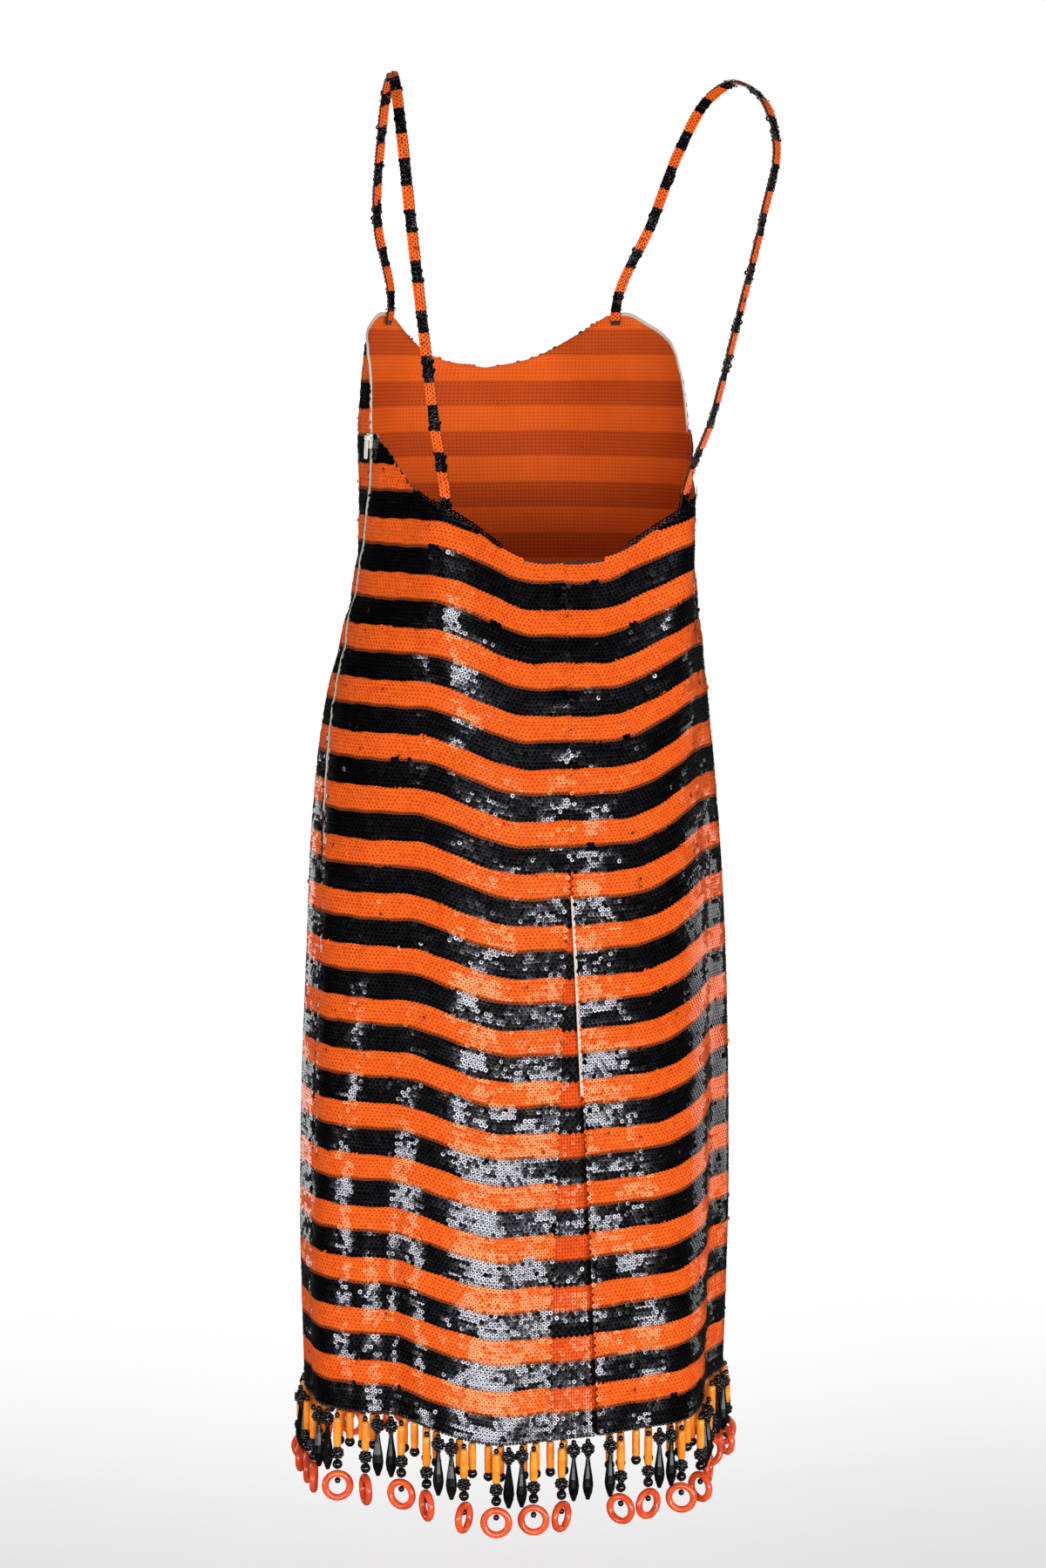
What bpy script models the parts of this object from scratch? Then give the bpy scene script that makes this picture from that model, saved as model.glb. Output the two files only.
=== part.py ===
"""A sleeveless evening shift in striped sequinned cloth, with thin shoulder straps, a scooped
back, a zip in the wearer's left side seam, a kick pleat at the centre back and a fringe of
beads, drops and rings along the hem. It keeps the hollow form of a standing figure.

Frame: metres, +Z up, the front of the dress faces -Y and the wearer's left side is +X.
The origin lies midway between the tops of the two straps, where the shoulders carry them.

A place on the cloth is given by two numbers: the angle round the body in degrees (0 is the
wearer's left side, 90 the centre back, 180 the right side, 270 the centre front) and the height
above the hem, measured so that a stripe keeps one height all the way round.
"""

import math
from collections import namedtuple

import bmesh
import bpy
import numpy as np
from mathutils import Matrix, Vector

# ---------------------------------------------------------------- driving sizes, in metres
CLOTH = 0.0018            # thickness of the sequinned cloth
PARTING = 0.0003          # clearance between neighbouring pieces
SEAM = 0.0005             # clearance between two panels at a seam
HEM_LEVEL = -1.112        # level of the hem at the side seams, below the strap tops

CENTRE_BACK = 90.0
Seam = namedtuple("Seam", "height angle")
SIDE_SEAM = (             # the left side seam's angle at each height; the right one mirrors it
    Seam(0.000, 4.0), Seam(0.500, 3.0), Seam(0.620, 0.0), Seam(0.690, -3.0),
    Seam(0.740, 2.0), Seam(0.785, 10.0), Seam(0.824, 13.0),
)
PLEAT_TOP = 0.500         # height above the hem where the kick pleat opens
PLEAT_SWING = 6.8         # degrees that each back panel's edge stands off at the hem

# The body of the dress, a row for each level: height above the hem, half the width, the place
# of the centre back, half the depth towards the back and towards the front, and how square the
# back half of the section is (2 is an ellipse).
Level = namedtuple("Level", "height half_width back to_back to_front square")
LEVELS = (
    Level(0.000, 0.1880, 0.0265, 0.1440, 0.1430, 2.10),
    Level(0.142, 0.1905, 0.0230, 0.1385, 0.1400, 2.10),
    Level(0.267, 0.1880, 0.0205, 0.1335, 0.1390, 2.10),
    Level(0.388, 0.1828, 0.0185, 0.1290, 0.1370, 2.10),
    Level(0.509, 0.1755, 0.0168, 0.1320, 0.1330, 2.15),
    Level(0.597, 0.1655, 0.0160, 0.1310, 0.1230, 2.25),
    Level(0.658, 0.1545, 0.0125, 0.1170, 0.1120, 2.40),
    Level(0.716, 0.1455, 0.0060, 0.1030, 0.1060, 2.55),
    Level(0.767, 0.1435, 0.0030, 0.1000, 0.1080, 2.60),
    Level(0.822, 0.1440, 0.0020, 0.0990, 0.1100, 2.60),
    Level(0.880, 0.1400, 0.0010, 0.0980, 0.0980, 2.60),
    Level(0.930, 0.1350, 0.0000, 0.0970, 0.0820, 2.60),
)

# The upper edges: the height of the cut edge at each angle. The back's is the same on both
# sides, and is given for the wearer's left.
Edge = namedtuple("Edge", "angle height")
BACK_EDGE = (
    Edge(13.0, 0.824), Edge(15.0, 0.824), Edge(21.0, 0.816), Edge(27.0, 0.808),
    Edge(32.0, 0.797), Edge(40.0, 0.780), Edge(46.0, 0.771), Edge(53.0, 0.764),
    Edge(60.0, 0.758), Edge(67.0, 0.753), Edge(75.0, 0.751), Edge(90.0, 0.750),
)
FRONT_EDGE = (
    Edge(-90.0, 0.876), Edge(-72.0, 0.885), Edge(-56.0, 0.905), Edge(-44.0, 0.920),
    Edge(-34.0, 0.923), Edge(-22.0, 0.914), Edge(-10.0, 0.904), Edge(-1.0, 0.893),
    Edge(4.5, 0.878), Edge(8.5, 0.860), Edge(11.8, 0.824), Edge(13.0, 0.824),
)

# How far the stripes sag at the centre back, and how many degrees from it the sag begins to
# fade and ends: at the hem on the wearer's left and right, and at the top.
SAG_AT_HEM, SAG_AT_TOP = 0.018, 0.032
Fade = namedtuple("Fade", "begins ends")
FADE_LEFT, FADE_RIGHT, FADE_TOP = Fade(18.0, 50.0), Fade(28.0, 66.0), Fade(9.0, 42.0)

# Standing folds: the angle of the crest or trough at the hem and at the top, its spread in
# degrees, and how far it stands out (or, when negative, in) at the hem, the hips and the top.
Fold = namedtuple("Fold", "at_hem at_top spread hem hips top")
FOLDS = (
    Fold(14.0, 12.0, 8.0, 0.006, 0.002, 0.000),
    Fold(38.0, 46.0, 9.0, -0.011, -0.005, 0.000),
    Fold(66.0, 62.0, 12.0, 0.006, 0.003, 0.000),
    Fold(125.0, 122.0, 11.0, 0.008, 0.003, 0.000),
    Fold(146.0, 144.0, 8.5, -0.012, -0.004, 0.000),
    Fold(163.0, 165.0, 8.0, -0.001, 0.002, 0.000),
    Fold(199.0, 197.0, 9.0, -0.007, -0.002, 0.000),
    Fold(222.0, 226.0, 11.0, 0.009, 0.003, 0.000),
    Fold(247.0, 248.0, 9.0, -0.009, -0.003, 0.000),
    Fold(271.0, 270.0, 12.0, 0.006, 0.002, 0.000),
    Fold(296.0, 292.0, 9.0, -0.010, -0.003, 0.000),
    Fold(319.0, 314.0, 11.0, 0.009, 0.003, 0.000),
    Fold(345.0, 345.0, 12.0, 0.001, 0.004, 0.000),
    # the corners that the straps draw out of the back's upper edge
    Fold(52.0, 52.0, 12.0, 0.000, 0.000, 0.025),
    Fold(128.0, 128.0, 12.0, 0.000, 0.000, 0.025),
)
HIPS_HEIGHT, FOLD_TOP = 0.40, 0.77

# The bust darts shape two soft rises in the front.
BUST_ANGLE, BUST_SPREAD = 27.0, 17.0      # each side of the centre front, degrees
BUST_HEIGHT, BUST_TALL, BUST_RISE = 0.845, 0.055, 0.016

# The wearer's left strap, from the back edge to the front edge: points of its centre line, and
# the way its face looks, in degrees round from straight back towards the side and degrees up.
STRAP_WIDTH, STRAP_THICK = 0.0085, 0.0028
BACK_JOINT, FRONT_JOINT = 52.0, -39.0     # the angles where it is sewn to the edges
Station = namedtuple("Station", "x y z around up")
STRAP = (
    Station(0.1215, 0.0255, -0.2750, 38.0, 3.0),
    Station(0.1350, 0.0398, -0.2047, 38.0, 5.0),
    Station(0.1520, 0.0575, -0.1100, 36.0, 9.0),
    Station(0.1600, 0.0640, -0.0560, 34.0, 20.0),
    Station(0.1580, 0.0440, -0.0190, 36.0, 48.0),
    Station(0.1490, 0.0050, -0.0014, 70.0, 68.0),
    Station(0.1410, -0.0350, -0.0130, 135.0, 55.0),
    Station(0.1330, -0.0760, -0.0520, 146.0, 32.0),
    Station(0.1240, -0.1150, -0.1110, 148.0, 20.0),
)
STRAP_STEPS = 28
STRAP_LAP = 0.009         # how far a strap runs down behind the cloth it is sewn to
STRAP_BEHIND = 0.0019     # clearance between a strap and the cloth in front of it

# The kick pleat's underlay hangs behind the opening.
UNDERLAY_TOP = 0.515
UNDERLAY_SPREAD_TOP, UNDERLAY_SPREAD_HEM = 10.0, 16.0     # degrees each side of the centre
UNDERLAY_IN_TOP, UNDERLAY_IN_HEM = 0.0026, 0.0060         # how far its face is set in
UNDERLAY_DROP = 0.002     # its hem hangs this much lower

# The zip in the left side seam. Its tape keeps the panels' rows, so that it lies on them.
ZIP_FIRST_ROW = 10
ZIP_GAP = 0.0046          # clear width between the two cloth edges beside its coil
TAPE_THICK, TAPE_SHARE = 0.0010, 3.6      # TAPE_SHARE: degrees that the tape runs under a panel
COIL_WIDTH, COIL_THICK = 0.0034, 0.0016
SLIDER_LONG, SLIDER_WIDE, SLIDER_THICK = 0.0118, 0.0070, 0.0022
EAR_THICK, EAR_LONG, EAR_TALL = 0.0009, 0.0034, 0.0028
PIN_RADIUS, PIN_STANDS, PIN_FROM_TOP = 0.0006, 0.0017, 0.0034
PULL_LONG, PULL_WIDE, PULL_THICK = 0.0175, 0.0048, 0.0011
KNUCKLE_WIDE, KNUCKLE_RADIUS, EYE_RADIUS = 0.0030, 0.0014, 0.0009

# The hem fringe. Strands hang from a narrow beaded strip just below each panel's edge.
STRIP_TALL, STRIP_THICK, STRIP_PARTING = 0.0030, 0.0024, 0.0008
GROUPS = 18               # groups of strands round the hem
PLEAT_BARE = (-0.0265, -0.0065)           # stretch of hem at the pleat that no group takes
LONE_DROP = -0.0138       # the one drop that hangs there
FRONT_ROW = 0.0045        # the strands are spaced along a line this far outside the hem
Strand = namedtuple("Strand", "kind along out")
GROUP = (                 # one group, from its middle: the kind, the place, how far it stands out
    Strand("drop", -0.0244, 0.0045),
    Strand("tube", -0.0190, -0.0055),
    Strand("ring", -0.0137, 0.0045),
    Strand("tube", -0.0075, -0.0055),
    Strand("tube", 0.0075, -0.0055),
    Strand("ring", 0.0137, 0.0045),
    Strand("tube", 0.0190, -0.0055),
    Strand("drop", 0.0244, 0.0045),
)
Bead = namedtuple("Bead", "down half")    # how far below the hem, and half the width there
ROOT = Bead(0.0042, 0.0011)               # the thread's width where it leaves the strip
STRANDS = {
    "tube": (Bead(0.0080, 0.0031), Bead(0.0300, 0.0034), Bead(0.0358, 0.0014)),
    "ring": (
        Bead(0.0095, 0.0030), Bead(0.0330, 0.0032), Bead(0.0400, 0.0046),
        Bead(0.0460, 0.0022), Bead(0.0508, 0.0038), Bead(0.0548, 0.0020),
    ),
    "drop": (
        Bead(0.0112, 0.0045), Bead(0.0180, 0.0017), Bead(0.0430, 0.0047), Bead(0.0560, 0.0016),
    ),
}
RING_OUTER, RING_INNER, RING_THICK, RING_SIDES = 0.0137, 0.0076, 0.0054, 8
RING_TURNS = (24.0, -38.0, 62.0, -14.0, 44.0, -70.0, 8.0)   # how the rings swing, in turn

ROWS, COLUMNS_FRONT, COLUMNS_BACK = 18, 32, 16
ROWS_UNDERLAY, COLUMNS_UNDERLAY = 11, 6

COLOURS = {               # base colour, roughness, metallic
    "sequins": ((0.95, 0.16, 0.012, 1.0), 0.32, 0.0),
    "beads": ((0.012, 0.012, 0.014, 1.0), 0.18, 0.0),
    "tape": ((0.62, 0.56, 0.44, 1.0), 0.70, 0.0),
    "zip": ((0.68, 0.64, 0.52, 1.0), 0.35, 0.6),
}


# ---------------------------------------------------------------- helpers
def clear_scene():
    for item in list(bpy.data.objects):
        bpy.data.objects.remove(item, do_unlink=True)


def finish(name):
    """The named material, made once."""
    found = bpy.data.materials.get(name)
    if found:
        return found
    colour, roughness, metallic = COLOURS[name]
    made = bpy.data.materials.new(name)
    made.use_nodes = True
    shader = made.node_tree.nodes["Principled BSDF"]
    shader.inputs["Base Color"].default_value = colour
    shader.inputs["Roughness"].default_value = roughness
    shader.inputs["Metallic"].default_value = metallic
    return made


def add_object(name, mesh, material, collection):
    mesh.materials.clear()
    mesh.materials.append(finish(material))
    mesh.shade_smooth()
    mesh.set_sharp_from_angle(angle=math.radians(40.0))
    made = bpy.data.objects.new(name, mesh)
    collection.objects.link(made)
    return made


def thicken(made, thickness, offset):
    """A wall of even thickness on an open sheet: offset -1 grows it inwards, 0 both ways."""
    wall = made.modifiers.new("wall", "SOLIDIFY")
    wall.thickness = thickness
    wall.offset = offset


def blend(rows, name, at):
    """A smooth curve through one column of a table, read against its first column."""
    xs = np.array([row[0] for row in rows])
    ys = np.array([getattr(row, name) for row in rows])
    slopes = np.gradient(ys, xs)
    at = np.clip(np.asarray(at, float), xs[0], xs[-1])
    i = np.clip(np.searchsorted(xs, at) - 1, 0, len(xs) - 2)
    step = xs[i + 1] - xs[i]
    f = (at - xs[i]) / step
    return (
        ys[i] * (1 + 2 * f) * (1 - f) ** 2
        + slopes[i] * step * f * (1 - f) ** 2
        + ys[i + 1] * f * f * (3 - 2 * f)
        + slopes[i + 1] * step * f * f * (f - 1)
    )


def ease(low, high, at):
    f = np.clip((at - low) / (high - low), 0.0, 1.0)
    return f * f * (3 - 2 * f)


def unit(vectors):
    return vectors / np.linalg.norm(vectors, axis=-1, keepdims=True)


def sheet(name, points):
    """A mesh of quads on a grid of points, rows upwards and columns anticlockwise."""
    rows, columns = points.shape[:2]
    at = np.arange(rows * columns).reshape(rows, columns)
    corners = (at[:-1, :-1], at[:-1, 1:], at[1:, 1:], at[1:, :-1])
    faces = np.stack([corner.ravel() for corner in corners], axis=1)
    mesh = bpy.data.meshes.new(name)
    mesh.from_pydata(points.reshape(-1, 3).tolist(), [], faces.tolist())
    return mesh


# ---------------------------------------------------------------- the cloth's surface
def from_centre_back(angle):
    """Degrees away from the centre back, the same on both sides."""
    return np.abs((angle - CENTRE_BACK + 180.0) % 360.0 - 180.0)


def fold_depth(angle, height):
    """How far the folds carry the cloth out of its plain section."""
    near_hem = 1 - ease(0.0, HIPS_HEIGHT, height)
    near_top = ease(HIPS_HEIGHT, FOLD_TOP, height)
    rise = np.clip(height / FOLD_TOP, 0.0, 1.0)
    total = 0.0
    for fold in FOLDS:
        off = angle - fold.at_hem - (fold.at_top - fold.at_hem) * rise
        off = (off + 180.0) % 360.0 - 180.0
        amount = fold.hem * near_hem + fold.hips * (1 - near_hem) * (1 - near_top)
        amount = amount + fold.top * near_top**3
        total = total + amount * np.exp(-((off / fold.spread) ** 2))
    return total


def bust_rise(angle, height):
    """The two soft rises that the bust darts give the front."""
    from_front = 180.0 - from_centre_back(angle)
    around = np.exp(-(((from_front - BUST_ANGLE) / BUST_SPREAD) ** 2))
    return BUST_RISE * around * np.exp(-(((height - BUST_HEIGHT) / BUST_TALL) ** 2))


def sag(angle, height):
    """How far a stripe hangs below its level at the side seams."""
    rise = np.clip(height / FOLD_TOP, 0.0, 1.0)
    most = SAG_AT_HEM + (SAG_AT_TOP - SAG_AT_HEM) * rise
    right = (angle > CENTRE_BACK) & (angle < CENTRE_BACK + 180.0)
    begins = np.where(right, FADE_RIGHT.begins, FADE_LEFT.begins)
    ends = np.where(right, FADE_RIGHT.ends, FADE_LEFT.ends)
    begins = begins + (FADE_TOP.begins - begins) * rise
    ends = ends + (FADE_TOP.ends - ends) * rise
    return most * (1 - ease(begins, ends, from_centre_back(angle)))


def outer_face(angle, height):
    """Points on the outside of the cloth: an ellipse with a squarer back half, carried out or
    in by the folds and the darts, and let down by the sag."""
    angle, height = np.broadcast_arrays(np.asarray(angle, float), np.asarray(height, float))
    cos, sin = np.cos(np.radians(angle)), np.sin(np.radians(angle))
    half_width = blend(LEVELS, "half_width", height)
    to_back = blend(LEVELS, "to_back", height)
    depth = np.where(sin > 0, to_back, blend(LEVELS, "to_front", height))
    square = np.where(sin > 0, blend(LEVELS, "square", height), 2.0)
    corner = (np.abs(cos) ** square + np.abs(sin) ** square) ** (-1 / square)
    out = fold_depth(angle, height) + bust_rise(angle, height)
    away = unit(np.stack([cos / half_width, sin / depth], axis=-1)) * out[..., None]
    x = half_width * cos * corner + away[..., 0]
    y = depth * sin * corner + away[..., 1] + blend(LEVELS, "back", height) - to_back
    return np.stack([x, y, HEM_LEVEL + height - sag(angle, height)], axis=-1)


def outward(angle, height):
    """The unit normal of the outer face, from its slopes round and up."""
    around = outer_face(angle + 0.5, height) - outer_face(angle - 0.5, height)
    upward = outer_face(angle, height + 0.002) - outer_face(angle, height - 0.002)
    return unit(np.cross(around, upward))


def set_in(angle, height, depth):
    """Points behind the outer face, by a depth measured square to it."""
    angle, height = np.broadcast_arrays(np.asarray(angle, float), np.asarray(height, float))
    depth = np.broadcast_to(depth, angle.shape)
    return outer_face(angle, height) - outward(angle, height) * depth[..., None]


def degrees_for(width, height):
    """The angle at a side seam or the centre back that a width across the cloth takes."""
    return np.degrees(width / blend(LEVELS, "to_back", height))


# ---------------------------------------------------------------- panels
SEAM_TOP = SIDE_SEAM[-1]


def side_seam(height):
    return blend(SIDE_SEAM, "angle", height)


def upper_edge(angle):
    """The height of the cut edge at any angle: the back's scoop, then the front's neckline."""
    left = CENTRE_BACK - from_centre_back(angle)
    back = blend(BACK_EDGE, "height", left)
    front = blend(FRONT_EDGE, "height", left)
    return np.where(left >= SEAM_TOP.angle, back, front)


def pleat_swing(height):
    """Degrees that a back panel's edge stands off the centre, below the pleat's top."""
    open_share = np.clip(1 - height / PLEAT_TOP, 0.0, 1.0)
    return PLEAT_SWING * open_share**0.85 + degrees_for(SEAM / 2, height) * 0.8


def zip_gap(height):
    """Degrees from the left seam to each cloth edge, wide enough for the zip above its foot."""
    foot = ZIP_FIRST_ROW / ROWS * SEAM_TOP.height
    share = ease(foot, foot + 0.02, height)
    return degrees_for((SEAM + (ZIP_GAP - SEAM) * share) / 2, height)


def left_edge_of_back(height):
    return side_seam(height) + zip_gap(height)


def left_edge_of_front(height):
    return 360.0 + side_seam(height) - zip_gap(height)


def right_edge_of_back(height):
    return 180.0 - side_seam(height) - degrees_for(SEAM / 2, height)


def right_edge_of_front(height):
    return 180.0 - side_seam(height) + degrees_for(SEAM / 2, height)


PANELS = {
    "back_left": (left_edge_of_back, lambda h: CENTRE_BACK - pleat_swing(h), COLUMNS_BACK),
    "back_right": (lambda h: CENTRE_BACK + pleat_swing(h), right_edge_of_back, COLUMNS_BACK),
    "front": (right_edge_of_front, left_edge_of_front, COLUMNS_FRONT),
}


def panel_columns(name, start, end):
    """Angles across a panel, even but for the narrow column that the zip tape runs under."""
    columns = PANELS[name][2]
    even = np.linspace(0.0, 1.0, columns + 1)
    if name == "back_left":
        even = np.linspace(0.0, 1.0, columns)
        return np.concatenate([start, start + TAPE_SHARE + even * (end - start - TAPE_SHARE)], axis=1)
    if name == "front":
        even = np.linspace(0.0, 1.0, columns)
        return np.concatenate([start + even * (end - TAPE_SHARE - start), end], axis=1)
    return start + even * (end - start)


def panel_places(name):
    """The angle and the height of each grid point of a panel."""
    start, end, _ = PANELS[name]
    up = np.linspace(0.0, 1.0, ROWS + 1)[:, None]
    top = np.full((1, 2), SEAM_TOP.height)
    for _ in range(4):      # the edges depend on the height, and the height on the angle
        top = upper_edge(panel_columns(name, start(top[:, :1]), end(top[:, -1:])))
    height = up * top
    return panel_columns(name, start(height[:, :1]), end(height[:, -1:])), height


def add_panels(collection):
    for name in PANELS:
        angle, height = panel_places(name)
        made = add_object(name, sheet(name, outer_face(angle, height)), "sequins", collection)
        thicken(made, CLOTH, -1.0)


def add_underlay(collection):
    """The kick pleat's backing piece, hung behind the opening from the centre back seam."""
    across = np.linspace(-1.0, 1.0, COLUMNS_UNDERLAY + 1)[None, :]
    up = np.linspace(0.0, 1.0, ROWS_UNDERLAY + 1)[:, None]
    spread = UNDERLAY_SPREAD_HEM + (UNDERLAY_SPREAD_TOP - UNDERLAY_SPREAD_HEM) * up
    depth = UNDERLAY_IN_HEM + (UNDERLAY_IN_TOP - UNDERLAY_IN_HEM) * up
    points = set_in(CENTRE_BACK + spread * across, up * UNDERLAY_TOP, depth)
    points[..., 2] -= UNDERLAY_DROP * (1 - up)
    made = add_object("pleat_underlay", sheet("pleat_underlay", points), "sequins", collection)
    thicken(made, CLOTH, -1.0)


# ---------------------------------------------------------------- straps
def facing(around, up):
    """A unit vector from degrees round from straight back, and degrees up."""
    around, up = np.radians(around), np.radians(up)
    return np.stack([np.sin(around) * np.cos(up), np.cos(around) * np.cos(up), np.sin(up)], -1)


def strap_end(angle):
    """The sewn end of a strap, two rows of two points behind the cloth, upper row first."""
    edge = upper_edge(angle)
    half = np.degrees(STRAP_WIDTH / 2 / 0.125)
    heights = np.array([[edge + 0.001], [edge - STRAP_LAP]])
    return set_in(angle + half * np.array([[-1.0, 1.0]]), heights,
                  CLOTH + STRAP_BEHIND + STRAP_THICK / 2)


def strap_sheet():
    """The left strap as two edges along a smooth curve, its ends following the cloth."""
    line = np.array([[s.x, s.y, s.z] for s in STRAP])
    face = facing(np.array([s.around for s in STRAP]), np.array([s.up for s in STRAP]))
    run = unit(np.gradient(line, axis=0))
    half = unit(np.cross(run, face)) * STRAP_WIDTH / 2
    middle = np.stack([line - half, line + half], axis=1)
    back = strap_end(BACK_JOINT)[::-1]
    front = strap_end(FRONT_JOINT)[:, ::-1]
    rows = np.concatenate([back, middle, front])
    centre = rows.mean(axis=1)
    along = np.concatenate([[0.0], np.cumsum(np.linalg.norm(np.diff(centre, axis=0), axis=1))])
    Knot = namedtuple("Knot", "along a b c d e f")
    knots = [Knot(at, *row.ravel()) for at, row in zip(along, rows, strict=True)]
    at = np.concatenate([[0.0], np.linspace(along[1], along[-2], STRAP_STEPS), [along[-1]]])
    return np.stack([blend(knots, axis, at) for axis in "abcdef"], axis=-1).reshape(-1, 2, 3)


def add_straps(collection):
    left = strap_sheet()
    for name, side in (("strap_left", 1.0), ("strap_right", -1.0)):
        points = left * [side, 1.0, 1.0]
        made = add_object(name, sheet(name, points), "sequins", collection)
        thicken(made, STRAP_THICK, 0.0)


# ---------------------------------------------------------------- the zip
def add_zip_tape(collection):
    """The tape behind the two cloth edges, on the panels' own rows and columns."""
    up = np.arange(ZIP_FIRST_ROW, ROWS + 1)[:, None] / ROWS
    height = up * SEAM_TOP.height
    front, back = left_edge_of_front(height) - 360.0, left_edge_of_back(height)
    angle = np.concatenate([front - TAPE_SHARE, front, back, back + TAPE_SHARE], axis=1)
    height = up * upper_edge(angle[-1:])
    depth = CLOTH + PARTING + TAPE_THICK / 2
    made = add_object("zip_tape", sheet("zip_tape", set_in(angle, height, depth)), "tape", collection)
    thicken(made, TAPE_THICK, 0.0)


def add_zip_coil(collection):
    """The row of teeth as one bar between the cloth edges, ending under the slider's foot."""
    rows = np.arange(ZIP_FIRST_ROW + 1, ROWS + 1)[:, None] / ROWS * SEAM_TOP.height
    rows[-1] = slider_top() - SLIDER_LONG - PARTING
    half = degrees_for(COIL_WIDTH / 2, rows)
    angle = side_seam(rows) + np.concatenate([-half, half], axis=1)
    depth = CLOTH - COIL_THICK / 2
    made = add_object("zip_coil", sheet("zip_coil", set_in(angle, rows, depth)), "tape", collection)
    thicken(made, COIL_THICK, 0.0)


def slider_top():
    return SEAM_TOP.height - 0.001


def slider_frame():
    """The slider's own axes: across the seam, up along it, and out, from its upper end."""
    top, foot = slider_top(), slider_top() - SLIDER_LONG
    origin = outer_face(side_seam(top), top)
    up = unit(origin - outer_face(side_seam(foot), foot))
    out = outward(side_seam((top + foot) / 2), (top + foot) / 2)
    across = unit(np.cross(up, out))
    out = np.cross(across, up)
    frame = Matrix.Identity(4)
    for column, axis in enumerate((across, up, out, origin)):
        frame.col[column][:3] = axis.tolist()
    return frame


def block(bm, size, centre):
    """A box of the given size (across, along, out) at a place in the slider's axes."""
    made = bmesh.ops.create_cube(bm, size=1.0)
    bmesh.ops.scale(bm, verts=made["verts"], vec=size)
    bmesh.ops.translate(bm, verts=made["verts"], vec=centre)


def rod(bm, radius, length, centre):
    """A round bar across the seam."""
    turn = Matrix.Translation(centre) @ Matrix.Rotation(math.pi / 2, 4, "Y")
    bmesh.ops.create_cone(
        bm, cap_ends=True, segments=14, radius1=radius, radius2=radius, depth=length, matrix=turn
    )


def mesh_of(name, shape):
    """A closed mesh from one call of a shape function."""
    bm = bmesh.new()
    shape(bm)
    mesh = bpy.data.meshes.new(name)
    bm.to_mesh(mesh)
    bm.free()
    return mesh


def join_by(made, others, operation, cutters):
    """Joins shapes to an object, or cuts them from it, with exact Booleans."""
    for index, mesh in enumerate(others):
        tool = bpy.data.objects.new(f"{made.name}_tool_{index}", mesh)
        tool.hide_render, tool.display_type = True, "WIRE"
        cutters.objects.link(tool)
        tool.matrix_world = made.matrix_world
        change = made.modifiers.new(f"{operation.lower()}_{index}", "BOOLEAN")
        change.operation, change.object, change.solver = operation, tool, "MANIFOLD"


def pin_place():
    """The hinge pin's place in the slider's axes."""
    return Vector((0.0, -PIN_FROM_TOP, PARTING + SLIDER_THICK + PIN_STANDS))


def add_slider(collection, cutters):
    """The slider rides over the cloth edges, with a foot between them and ears for the pin."""
    foot_tall = CLOTH + PARTING + SLIDER_THICK / 2
    pin = pin_place()
    body = mesh_of("zip_slider", lambda bm: block(
        bm, (SLIDER_WIDE, SLIDER_LONG, SLIDER_THICK),
        (0.0, -SLIDER_LONG / 2, PARTING + SLIDER_THICK / 2)))
    made = add_object("zip_slider", body, "zip", collection)
    made.matrix_world = slider_frame()
    tools = [mesh_of("foot", lambda bm: block(
        bm, (COIL_WIDTH, SLIDER_LONG - 0.001, foot_tall),
        (0.0, -SLIDER_LONG / 2, PARTING + SLIDER_THICK / 2 - foot_tall / 2)))]
    for side in (-1, 1):
        place = (side * (KNUCKLE_WIDE / 2 + PARTING + EAR_THICK / 2), pin.y,
                 PARTING + SLIDER_THICK + EAR_TALL / 2 - 0.0004)
        tools.append(mesh_of("ear", lambda bm, place=place: block(
            bm, (EAR_THICK, EAR_LONG, EAR_TALL), place)))
    tools.append(mesh_of("pin", lambda bm: rod(
        bm, PIN_RADIUS, KNUCKLE_WIDE + 2 * PARTING + EAR_THICK, pin)))
    join_by(made, tools, "UNION", cutters)


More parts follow.
